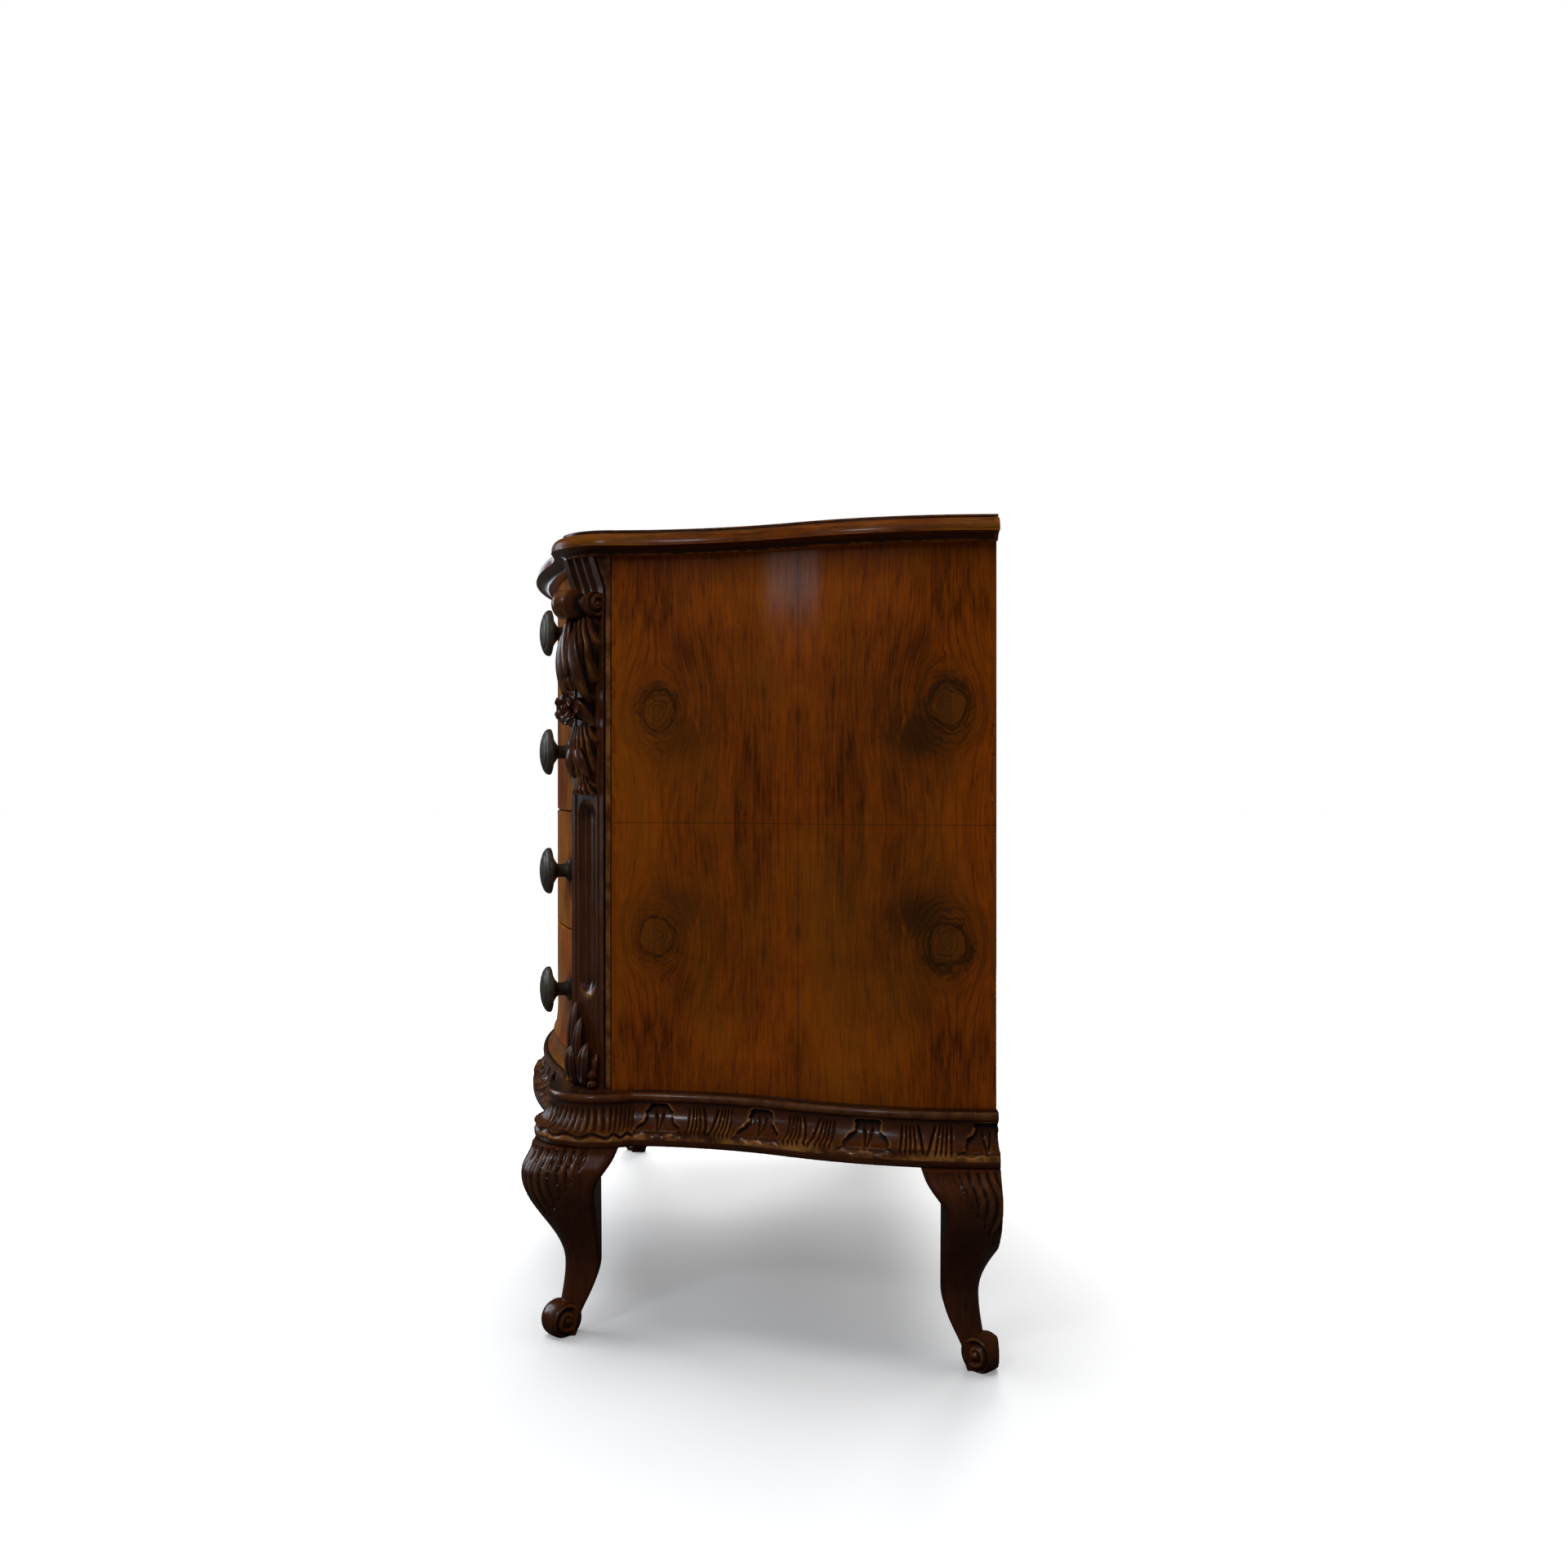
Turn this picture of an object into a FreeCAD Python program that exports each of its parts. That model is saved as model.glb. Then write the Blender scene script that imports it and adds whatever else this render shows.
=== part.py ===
"""Serpentine commode of four drawers, in millimetres, +Z up, front towards -Y.

The origin is on the floor under the middle of the commode. The plan of the case is drawn
once, as tangent arcs. The case, the drawers and the mouldings are all cut from offsets of
that plan, so they follow one another when a size changes.
"""
import FreeCAD
import Part
import math
import os
from FreeCAD import Vector

# Heights, from the floor up
LEG_HEIGHT = 240.0
BASE_HEIGHT = 63.0
BOTTOM_RAIL_HEIGHT = 23.0
DRAWER_PITCH = 161.0
DRAWER_COUNT = 4
TOP_THICKNESS = 30.0

# Plan of the case
REAR_HALF_WIDTH = 572.0
FRONT_HALF_WIDTH = 460.0
SIDE_LENGTH = 466.0
CORNER_RADIUS = 52.0
FRONT_BULGE = 75.0
FRONT_HOLLOW_RADIUS = 280.0

# Profile of the base: how far each member stands out from the case, and how tall it is
BASE_FILLET_OUT = 33.0
BASE_FILLET_HEIGHT = 8.0
BASE_NOSE_OUT = 36.0
BASE_NOSE_HEIGHT = 13.0
BASE_HOLLOW_OUT = 16.0
BEAD_OUT = 21.0
BEAD_HEIGHT = 12.0
BASE_INSIDE = 30.0
KNUCKLE_RADIUS = 88.0
KNUCKLE_SHIFT = 14.0
BASE_RAIL_THICKNESS = 25.0
BLOCK_HEIGHT = 40.0
BLOCK_REACH = 80.0

# Profile of the top
TOP_BED_OUT = 13.0
TOP_NOSE_OUT = 31.0
TOP_NOSE_HEIGHT = 3.0
TOP_COVE_HEIGHT = 9.0
TOP_FILLET_OUT = 16.0
TOP_FILLET_HEIGHT = 4.0

# Cove under the drawers, which runs out on the lowest drawer front
RAIL_FOOT_OUT = 14.0
RAIL_HEAD_OUT = 6.0
FLARE_HEIGHT = 40.0

# Case boards
SIDE_THICKNESS = 20.0
HOUSING_DEPTH = 6.0
BACK_THICKNESS = 12.0
RABBET_LIP = 10.0
DUST_THICKNESS = 12.0
BOTTOM_THICKNESS = 15.0
TOP_RAIL_THICKNESS = 15.0
TOP_RAIL_DEPTH = 60.0
GUIDE_WIDTH = 18.0
GUIDE_HEIGHT = 20.0

# Corner pilaster, canted at 45 degrees
PILASTER_LAP = 4.0
PILASTER_PROUD = 4.0
CANT_DISTANCE = 44.5
FLUTE_HALF_WIDTH = 18.0
FLUTE_DEPTH = 7.0
REED_GROOVE_RADIUS = 2.0
REED_GROOVE_PLACE = 23.0
CAPITAL_HEIGHT = 40.0
CAPITAL_HEAD_OUT = 11.0
CAPITAL_SIDE_OUT = 3.0
CAPITAL_FLUTE_RADIUS = 5.0
CAPITAL_FLUTE_PITCH = 16.0

# Carvings on the pilaster, heights taken from the top of the case or of the base
SCROLL_DROP = 60.0
SCROLL_HALF_LENGTH = 28.0
SCROLL_BULB_RADIUS = 18.0
SCROLL_NECK_RADIUS = 11.0
SCROLL_EYE_RADIUS = 13.0
SCROLL_SEAT = 6.0
SCROLL_BOW = 28.0
UPPER_LEAF_LENGTH = 97.0
UPPER_LEAF_HALF_WIDTH = 28.0
UPPER_LEAF_DEPTH = 25.0
ROSETTE_RADIUS = 22.0
ROSETTE_FACE_RADIUS = 15.0
ROSETTE_DEPTH = 40.0
LOWER_LEAF_LENGTH = 86.0
LOWER_LEAF_HALF_WIDTH = 23.0
LOWER_LEAF_DEPTH = 22.0
BASE_LEAF_HEIGHT = 106.0
BASE_LEAF_HALF_WIDTH = 29.0
BASE_LEAF_DEPTH = 22.0
FLUTE_MARGIN = 10.0

# Cabriole legs: square blank, measured from its inner corner
KNEE_SIZE = 99.0
KNEE_HEIGHT = 208.0
KNEE_TOP_SIZE = 88.0
ANKLE_SIZE = 48.0
ANKLE_HEIGHT = 85.0
FOOT_SIZE = 56.0
FOOT_INSET = 30.0
BRACKET_REACH = 18.0
FOOT_ROLL_RADIUS = 23.0
FOOT_ROLL_HALF_LENGTH = 12.0
FOOT_ROLL_PLACE = 50.0
FOOT_ROLL_HEIGHT = 20.0
FOOT_EYE_RADIUS = 8.0
FOOT_EYE_DEPTH = 2.0
FRONT_LEG_SHIFT = 11.0
REAR_LEG_INSET = 41.0
REAR_LEG_DEPTH = 68.0
DOWEL_RADIUS = 5.0
DOWEL_HALF_LENGTH = 25.0
DOWEL_NEAR = 12.0
DOWEL_FAR = 58.0

# Drawers
DRAWER_GAP = 2.0
DRAWER_EDGE_GAP = 2.0
FRONT_THICKNESS = 24.0
FRONT_STOP_GAP = 2.0
DRAWER_SIDE_INSET = 14.0
DRAWER_SIDE_THICKNESS = 12.0
DRAWER_SIDE_HEIGHT = 135.0
DRAWER_RUN_GAP = 0.4
DRAWER_GUIDE_GAP = 0.8
DRAWER_BACK_GAP = 12.0
DRAWER_BACK_HOUSING = 4.0
DRAWER_BOTTOM_THICKNESS = 6.0
DRAWER_BOTTOM_LIFT = 10.0
DRAWER_GROOVE = 5.0
TAIL_COUNT = 3
TAIL_LAP = 10.0
TAIL_HALF_WIDTH = 11.0
TAIL_FLARE = 3.0

# Knobs, turned, on the normal of the drawer front
KNOB_INSET = 115.0
KNOB_RADIUS = 31.0
KNOB_PROJECTION = 40.0
KNOB_DOME = 11.0
KNOB_RIM = 2.0
KNOB_BACK = 10.0
KNOB_STEM_RADIUS = 9.0
KNOB_ROSE_RADIUS = 16.0
KNOB_ROSE_THICKNESS = 3.0
KNOB_SEAT = 1.0
KNOB_SCREW_RADIUS = 2.5
KNOB_SCREW_BITE = 22.0
KNOB_SCREW_HEAD_RADIUS = 5.0
KNOB_SCREW_HEAD = 3.0
KNOB_HOLE_GAP = 0.3

# Screws of the back and the top
SCREW_RADIUS = 2.0
SCREW_HEAD_RADIUS = 4.0
SCREW_HEAD_HEIGHT = 3.0
SCREW_LENGTH = 30.0
SCREW_INSET = 116.0

# Worked out from the sizes above
DEPTH = SIDE_LENGTH + CORNER_RADIUS + FRONT_BULGE + BASE_NOSE_OUT
REAR_Y = DEPTH / 2
CORNER_X = FRONT_HALF_WIDTH - CORNER_RADIUS
CORNER_Y = REAR_Y - SIDE_LENGTH
CREST_Y = BASE_NOSE_OUT - DEPTH / 2
SIDE_FLARE = REAR_HALF_WIDTH - FRONT_HALF_WIDTH
SIDE_TURN = 2 * math.degrees(math.atan2(SIDE_FLARE, SIDE_LENGTH))
SIDE_RADIUS = SIDE_LENGTH / (2 * math.sin(math.radians(SIDE_TURN)))
FRONT_TURN = 2 * math.degrees(math.atan2(FRONT_BULGE, CORNER_X))
FRONT_CREST_RADIUS = CORNER_X / math.sin(math.radians(FRONT_TURN)) - FRONT_HOLLOW_RADIUS
FRONT_HOLLOW_Y = CORNER_Y - CORNER_RADIUS - FRONT_HOLLOW_RADIUS
FRONT_JOINT_X = FRONT_CREST_RADIUS * math.sin(math.radians(FRONT_TURN))
CASE_Z = LEG_HEIGHT + BASE_HEIGHT
DRAWERS_Z = CASE_Z + BOTTOM_RAIL_HEIGHT
TOP_Z = DRAWERS_Z + DRAWER_PITCH * DRAWER_COUNT
HEIGHT = TOP_Z + TOP_THICKNESS
OPENING_HALF_WIDTH = CORNER_X - PILASTER_LAP
DRAWER_HALF_WIDTH = OPENING_HALF_WIDTH - DRAWER_SIDE_INSET
KNOB_PLACE = CORNER_X - KNOB_INSET
SCREW_PLACE = OPENING_HALF_WIDTH - SCREW_INSET
PILASTER_Y = CORNER_Y - CORNER_RADIUS - PILASTER_PROUD
CANT_MIDDLE = -PILASTER_PROUD / math.sqrt(2)
FLUTE_RADIUS = (FLUTE_HALF_WIDTH ** 2 + FLUTE_DEPTH ** 2) / (2 * FLUTE_DEPTH)
BACK_Y = REAR_Y - BACK_THICKNESS
BOARD_SETBACK = FRONT_THICKNESS + FRONT_STOP_GAP
BOARD_RISE = DUST_THICKNESS / 2
DRAWER_END_Y = BACK_Y - DRAWER_BACK_GAP
SCROLL_Z = TOP_Z - SCROLL_DROP
LEAF_TOP_Z = SCROLL_Z - SCROLL_NECK_RADIUS
ROSETTE_Z = LEAF_TOP_Z - UPPER_LEAF_LENGTH - ROSETTE_RADIUS
LOWER_LEAF_Z = ROSETTE_Z - ROSETTE_RADIUS
ACROSS_CANT = Vector(1, 1, 0).normalize()
OUT_OF_CANT = Vector(1, -1, 0).normalize()
FAR = 2 * (DEPTH + REAR_HALF_WIDTH)


def ring_point(centre_x, centre_y, radius, angle, z):
    """Point on a level circle, its angle in degrees."""
    turn = math.radians(angle)
    return Vector(centre_x + radius * math.cos(turn), centre_y + radius * math.sin(turn), z)


def half_plan(out, z):
    """Arcs of the right half of the plan, from the rear to the middle of the front.

    Each arc is its start, middle and end point. A positive out widens the plan.
    """
    arcs = (
        (REAR_HALF_WIDTH - SIDE_RADIUS, REAR_Y, SIDE_RADIUS + out, 0, -SIDE_TURN),
        (FRONT_HALF_WIDTH + SIDE_RADIUS, CORNER_Y, SIDE_RADIUS - out, 180 - SIDE_TURN, SIDE_TURN),
        (CORNER_X, CORNER_Y, CORNER_RADIUS + out, 0, -90),
        (CORNER_X, FRONT_HOLLOW_Y, FRONT_HOLLOW_RADIUS - out, 90, FRONT_TURN),
        (0, CREST_Y + FRONT_CREST_RADIUS, FRONT_CREST_RADIUS + out, 270 + FRONT_TURN, -FRONT_TURN),
    )
    return [
        [ring_point(x, y, radius, start + turn * share, z) for share in (0, 0.5, 1)]
        for x, y, radius, start, turn in arcs
    ]


def plan_wire(out, z):
    """Closed plan at one height, standing out from the case by out, except at the rear."""
    right = half_plan(out, z)
    left = [[Vector(-p.x, p.y, p.z) for p in reversed(arc)] for arc in reversed(right)]
    edges = [Part.Arc(*arc).toShape() for arc in right + left]
    edges.append(Part.makeLine(left[-1][2], right[0][0]))
    return Part.Wire(edges)


def slab(out, z_low, z_high):
    """Solid of the whole plan between two heights."""
    return Part.Face(plan_wire(out, z_low)).extrude(Vector(0, 0, z_high - z_low))


def moulded(profile):
    """Solid whose edge follows a profile of (out, z) points all round the plan."""
    return Part.makeLoft([plan_wire(out, z) for out, z in profile], True, True)


def quarter(start, end, rise_first, steps=3):
    """Quarter round of a profile from start to end, as points after the start.

    It leaves the start straight up if rise_first is set, and level otherwise.
    """
    points = []
    for step in range(1, steps + 1):
        angle = math.radians(90 * step / steps)
        early = math.sin(angle)
        late = 1 - math.cos(angle)
        out_share = late if rise_first else early
        rise_share = early if rise_first else late
        out = start[0] + (end[0] - start[0]) * out_share
        rise = start[1] + (end[1] - start[1]) * rise_share
        points.append((out, rise))
    return points


def block(x_low, x_high, y_low, y_high, z_low, z_high):
    """Box between two corners."""
    corner = Vector(x_low, y_low, z_low)
    return Part.makeBox(x_high - x_low, y_high - y_low, z_high - z_low, corner)


def prism(points, z_low, z_high):
    """Upright solid on a polygon of (x, y) points."""
    corners = [Vector(x, y, z_low) for x, y in points]
    face = Part.Face(Part.makePolygon(corners + corners[:1]))
    return face.extrude(Vector(0, 0, z_high - z_low))


def mirrored(shape):
    """The same piece for the left side."""
    return shape.mirror(Vector(0, 0, 0), Vector(1, 0, 0))


def both_sides(shape):
    """A shape and its mirror image, as two solids."""
    return Part.makeCompound([shape, mirrored(shape)])


def cant_point(across, out, z):
    """Point in the frame of the right pilaster.

    Across is measured from the middle of the cant and out from the centre of the corner.
    """
    return Vector(CORNER_X, CORNER_Y, z) + ACROSS_CANT * (CANT_MIDDLE + across) + OUT_OF_CANT * out


def cant_block(half_width, out_low, out_high, z_low, z_high):
    """Box turned to the right pilaster's cant."""
    sides = ((-half_width, out_low), (half_width, out_low), (half_width, out_high), (-half_width, out_high))
    points = [cant_point(across, out, z_low) for across, out in sides]
    return prism([(p.x, p.y) for p in points], z_low, z_high)


def save(name, shape):
    """Write one piece."""
    shape.exportStep("parts/" + name + ".step")


def save_pair(name, right):
    """Write a right-hand piece and its left-hand mirror image."""
    save(name + "_right", right)
    save(name + "_left", mirrored(right))


# Top and base mouldings

def make_top_board():
    """Board with a cove, a nose and an ovolo worked along its serpentine edge."""
    nose_z = TOP_Z + TOP_COVE_HEIGHT
    ovolo_z = nose_z + TOP_NOSE_HEIGHT
    profile = [(TOP_BED_OUT, TOP_Z)]
    profile += quarter(profile[-1], (TOP_NOSE_OUT, nose_z), True)
    profile.append((TOP_NOSE_OUT, ovolo_z))
    profile += quarter(profile[-1], (TOP_FILLET_OUT, HEIGHT - TOP_FILLET_HEIGHT), True, 4)
    profile.append((TOP_FILLET_OUT, HEIGHT))
    return moulded(profile)


def make_base_ring():
    """Fillet, nose, hollow and bead round the front and both sides, open inside and at the rear.

    A round knuckle of the same profile stands out over each front leg.
    """
    nose_z = LEG_HEIGHT + BASE_FILLET_HEIGHT
    hollow_z = nose_z + BASE_NOSE_HEIGHT
    bead_z = CASE_Z - BEAD_HEIGHT
    profile = [(BASE_FILLET_OUT, LEG_HEIGHT)]
    profile += quarter(profile[-1], (BASE_NOSE_OUT, nose_z), False, 2)
    profile.append((BASE_NOSE_OUT, hollow_z))
    profile += quarter(profile[-1], (BASE_HOLLOW_OUT, bead_z), False, 4)
    profile += quarter(profile[-1], (BEAD_OUT, bead_z + BEAD_HEIGHT / 2), False, 2)
    profile += quarter(profile[-1], (BASE_HOLLOW_OUT, CASE_Z), True, 2)
    knuckle = make_knuckle(profile)
    ring = moulded(profile).fuse([knuckle, mirrored(knuckle)])
    return ring.cut(slab(-BASE_INSIDE, LEG_HEIGHT, CASE_Z))


def make_knuckle(profile):
    """Round corner of the base, turned from its profile about an upright axis on the mitre."""
    rim = [Vector(KNUCKLE_RADIUS - BASE_NOSE_OUT + out, 0, z) for out, z in profile]
    corners = [Vector(0, 0, LEG_HEIGHT)] + rim + [Vector(0, 0, CASE_Z)]
    edges = [Part.makeLine(start, end) for start, end in zip(corners, corners[1:] + corners[:1])]
    foot = Vector(CORNER_X + KNUCKLE_SHIFT, CORNER_Y - KNUCKLE_SHIFT, 0)
    return turned(edges, foot, Vector(0, 0, 1))


def mitred(ring):
    """Front and right lengths of the base ring, parted at 45 degrees at the corner."""
    right_side = [(CORNER_X, CORNER_Y), (CORNER_X + FAR, CORNER_Y - FAR)]
    left_side = [(-x, y) for x, y in reversed(right_side)]
    wedge = prism(right_side + left_side, LEG_HEIGHT, CASE_Z)
    right_half = block(0, FAR, -FAR, FAR, LEG_HEIGHT, CASE_Z)
    return ring.common(wedge), ring.cut(wedge).common(right_half)


def make_base_rear_rail():
    """Rail between the rear ends of the base, under the back panel."""
    span = block(-FAR, FAR, REAR_Y - BASE_RAIL_THICKNESS, REAR_Y, LEG_HEIGHT, CASE_Z)
    return slab(-BASE_INSIDE, LEG_HEIGHT, CASE_Z).common(span)


def make_corner_blocks():
    """Glue blocks in the four inside corners of the base."""
    z_low = CASE_Z - BLOCK_HEIGHT
    front = prism(
        (
            (CORNER_X + CORNER_RADIUS, CORNER_Y + BLOCK_REACH),
            (CORNER_X - BLOCK_REACH, CORNER_Y - CORNER_RADIUS),
            (CORNER_X + CORNER_RADIUS, CORNER_Y - CORNER_RADIUS),
        ),
        z_low,
        CASE_Z,
    )
    rail_y = REAR_Y - BASE_RAIL_THICKNESS
    rear = prism(
        (
            (REAR_HALF_WIDTH, rail_y - BLOCK_REACH),
            (REAR_HALF_WIDTH, rail_y),
            (REAR_HALF_WIDTH - BASE_INSIDE - BLOCK_REACH, rail_y),
        ),
        z_low,
        CASE_Z,
    )
    inside = slab(-BASE_INSIDE, z_low, CASE_Z)
    blocks = [front.common(inside), rear.common(inside)]
    return Part.makeCompound(blocks + [mirrored(each) for each in blocks])


# Legs

def eased(start, end, share):
    """Value between two others that leaves the first and reaches the second level."""
    return start + (end - start) * (1 - math.cos(math.pi * share)) / 2


def leg_section(inner, outer, z, place, y_sign):
    """Square section of a leg, its outward corner well rounded and the others eased."""
    size = outer - inner
    soft = 0.1 * size
    round_corner = 0.42 * size
    corners = (
        (inner, inner, 1, 1, soft),
        (outer, inner, -1, 1, soft),
        (outer, outer, -1, -1, round_corner),
        (inner, outer, 1, -1, soft),
    )

    def at(u, v):
        return Vector(place[0] + u, place[1] + y_sign * v, z)

    arcs = []
    for turn, (u, v, to_u, to_v, radius) in enumerate(corners):
        mid = radius * (1 - math.sqrt(0.5))
        first = at(u, v + to_v * radius)
        second = at(u + to_u * radius, v)
        middle = at(u + to_u * mid, v + to_v * mid)
        arcs.append((first, middle, second) if turn % 2 == 0 else (second, middle, first))
    edges = []
    for index, arc in enumerate(arcs):
        edges.append(Part.makeLine(arcs[index - 1][2], arc[0]))
        edges.append(Part.Arc(*arc).toShape())
    return Part.Wire(edges)


def make_leg(place, y_sign):
    """Right-hand cabriole leg standing at its inner corner: bracket, knee, ankle and scroll foot."""
    knots = (
        (0.0, FOOT_INSET, FOOT_SIZE, 0),
        (ANKLE_HEIGHT, 0.0, ANKLE_SIZE, 3),
        (KNEE_HEIGHT, 0.0, KNEE_SIZE, 5),
        (LEG_HEIGHT, -BRACKET_REACH, KNEE_TOP_SIZE, 3),
    )
    sections = [leg_section(FOOT_INSET, FOOT_SIZE, 0.0, place, y_sign)]
    for low, high in zip(knots, knots[1:]):
        steps = high[3]
        for step in range(1, steps + 1):
            share = step / steps
            z = low[0] + (high[0] - low[0]) * share
            inner = eased(low[1], high[1], share)
            outer = eased(low[2], high[2], share)
            sections.append(leg_section(inner, outer, z, place, y_sign))
    leg = Part.makeLoft(sections, True, True)
    axis = Vector(1, -y_sign, 0).normalize()
    centre = Vector(place[0] + FOOT_ROLL_PLACE, place[1] + y_sign * FOOT_ROLL_PLACE, FOOT_ROLL_HEIGHT)
    roll_start = centre - axis * FOOT_ROLL_HALF_LENGTH
    eye_start = roll_start - axis * FOOT_EYE_DEPTH
    eye_length = 2 * (FOOT_ROLL_HALF_LENGTH + FOOT_EYE_DEPTH)
    roll = Part.makeCylinder(FOOT_ROLL_RADIUS, 2 * FOOT_ROLL_HALF_LENGTH, roll_start, axis)
    eyes = Part.makeCylinder(FOOT_EYE_RADIUS, eye_length, eye_start, axis)
    room = block(-FAR, FAR, -FAR, REAR_Y, 0, LEG_HEIGHT)
    return leg.fuse([roll, eyes]).common(room)


def make_dowels(place, y_sign, steps):
    """Dowels of one leg, at steps from its inner corner."""
    low = LEG_HEIGHT - DOWEL_HALF_LENGTH
    feet = [Vector(place[0] + u, place[1] + y_sign * v, low) for u, v in steps]
    return [Part.makeCylinder(DOWEL_RADIUS, 2 * DOWEL_HALF_LENGTH, foot) for foot in feet]


# Case

def make_board(z_low, thickness, rear_y):
    """Board across the case: housed in the sides, with a serpentine nose between the pilasters."""
    z_high = z_low + thickness
    nose_room = block(-OPENING_HALF_WIDTH, OPENING_HALF_WIDTH, -FAR, CORNER_Y, z_low, z_high)
    nose = slab(-BOARD_SETBACK, z_low, z_high).common(nose_room)
    return nose.fuse(make_cross_rail(z_low, thickness, CORNER_Y, rear_y)).removeSplitter()


def make_cross_rail(z_low, thickness, front_y, rear_y):
    """Straight-edged board between the housings of the two sides."""
    z_high = z_low + thickness
    room = block(-FAR, FAR, front_y, rear_y, z_low, z_high)
    return slab(HOUSING_DEPTH - SIDE_THICKNESS, z_low, z_high).common(room)


def make_side_panel(boards):
    """Ogee side, rabbeted for the back and housed for the boards."""
    wall = slab(0, CASE_Z, TOP_Z).cut(slab(-SIDE_THICKNESS, CASE_Z, TOP_Z))
    panel = wall.common(block(0, FAR, CORNER_Y, REAR_Y, CASE_Z, TOP_Z))
    return panel.cut([make_back_panel()] + boards)


def make_back_panel():
    """Flat back between the rabbets."""
    half_width = REAR_HALF_WIDTH - RABBET_LIP
    return block(-half_width, half_width, BACK_Y, REAR_Y, CASE_Z, TOP_Z)


def make_bottom_rail():
    """Coved serpentine rail between the pilasters, under the lowest drawer."""
    middle = (RAIL_FOOT_OUT + 2 * RAIL_HEAD_OUT) / 3
    profile = (
        (RAIL_FOOT_OUT, CASE_Z),
        (middle, CASE_Z + BOTTOM_RAIL_HEIGHT / 2),
        (RAIL_HEAD_OUT, DRAWERS_Z),
    )
    rail = moulded(profile).cut(slab(-BOARD_SETBACK, CASE_Z, DRAWERS_Z))
    return rail.common(block(-OPENING_HALF_WIDTH, OPENING_HALF_WIDTH, -FAR, CORNER_Y, CASE_Z, DRAWERS_Z))


def make_guides(board_tops):
    """Strips that keep the drawers straight, one on each board, for the right side."""
    inner = DRAWER_HALF_WIDTH + DRAWER_GUIDE_GAP
    return Part.makeCompound(
        [block(inner, inner + GUIDE_WIDTH, CORNER_Y, BACK_Y, z, z + GUIDE_HEIGHT) for z in board_tops]
    )


# Pilaster and its carvings

def pilaster_outline(front_out, side_out, z):
    """Closed plan of the right pilaster, its face and cant moved out, and its side moved out."""
    front_y = PILASTER_Y - front_out
    side_x = FRONT_HALF_WIDTH + side_out
    cant = math.sqrt(2) * (CANT_DISTANCE + front_out)
    corners = [
        Vector(OPENING_HALF_WIDTH, CORNER_Y, z),
        Vector(OPENING_HALF_WIDTH, front_y, z),
        Vector(CORNER_X + cant + front_y - CORNER_Y, front_y, z),
        Vector(side_x, CORNER_Y + side_x - CORNER_X - cant, z),
        Vector(side_x, CORNER_Y, z),
    ]
    return Part.makePolygon(corners + corners[:1])


def make_pilaster():
    """Canted corner post with a wide flute, two narrow grooves and a flaring fluted capital."""
    capital_z = TOP_Z - CAPITAL_HEIGHT
    post = Part.Face(pilaster_outline(0, 0, CASE_Z)).extrude(Vector(0, 0, capital_z - CASE_Z))
    flute_low = CASE_Z + BASE_LEAF_HEIGHT + FLUTE_MARGIN
    flute_high = LOWER_LEAF_Z - LOWER_LEAF_LENGTH - FLUTE_MARGIN
    hollows = []
    grooves = (
        (0, FLUTE_RADIUS, FLUTE_RADIUS - FLUTE_DEPTH, FLUTE_HALF_WIDTH),
        (-REED_GROOVE_PLACE, REED_GROOVE_RADIUS, 0, REED_GROOVE_RADIUS),
        (REED_GROOVE_PLACE, REED_GROOVE_RADIUS, 0, REED_GROOVE_RADIUS),
    )
    for across, radius, axis_out, end_margin in grooves:
        low = cant_point(across, CANT_DISTANCE + axis_out, flute_low + end_margin)
        high = cant_point(across, CANT_DISTANCE + axis_out, flute_high - end_margin)
        hollows.append(Part.makeCylinder(radius, high.z - low.z, low))
        hollows.append(Part.makeSphere(radius, low))
        hollows.append(Part.makeSphere(radius, high))
    return post.cut(hollows).fuse(make_capital(capital_z)).removeSplitter()


def make_capital(foot_z):
    """Head of the pilaster, flaring forward and outward, with three flutes on the cant."""
    rims = [pilaster_outline(0, 0, foot_z), pilaster_outline(CAPITAL_HEAD_OUT, CAPITAL_SIDE_OUT, TOP_Z)]
    capital = Part.makeLoft(rims, True, True)
    flutes = []
    clear = CANT_DISTANCE + CAPITAL_FLUTE_RADIUS / 2
    for step in (-1, 0, 1):
        low = cant_point(step * CAPITAL_FLUTE_PITCH, clear, foot_z)
        high = cant_point(step * CAPITAL_FLUTE_PITCH, clear + CAPITAL_HEAD_OUT, TOP_Z)
        lean = high - low
        flutes.append(Part.makeCylinder(CAPITAL_FLUTE_RADIUS, 3 * lean.Length, low - lean, lean))
    return capital.cut(flutes)


def behind_cant():
    """Everything behind the face of the right pilaster's cant."""
    return cant_block(FAR, -FAR, CANT_DISTANCE, 0, HEIGHT)


def make_console_scroll():
    """Bowed roll across the cant: a bulb between two necks, with an eye at each end."""
    stations = (
        (0.0, SCROLL_BULB_RADIUS),
        (0.2, 0.93 * SCROLL_BULB_RADIUS),
        (0.4, 0.75 * SCROLL_BULB_RADIUS),
        (0.6, SCROLL_NECK_RADIUS),
        (0.8, SCROLL_EYE_RADIUS),
        (1.0, SCROLL_EYE_RADIUS),
    )
    stations = [(-share, radius) for share, radius in reversed(stations[1:])] + list(stations)
    rings = []
    for share, radius in stations:
        out = CANT_DISTANCE + SCROLL_SEAT + SCROLL_BOW * (1 - share * share)
        centre = cant_point(share * SCROLL_HALF_LENGTH, out, SCROLL_Z)
        rings.append(Part.Wire(Part.makeCircle(radius, centre, ACROSS_CANT)))
    return Part.makeLoft(rings, True, True).cut(behind_cant())


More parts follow.
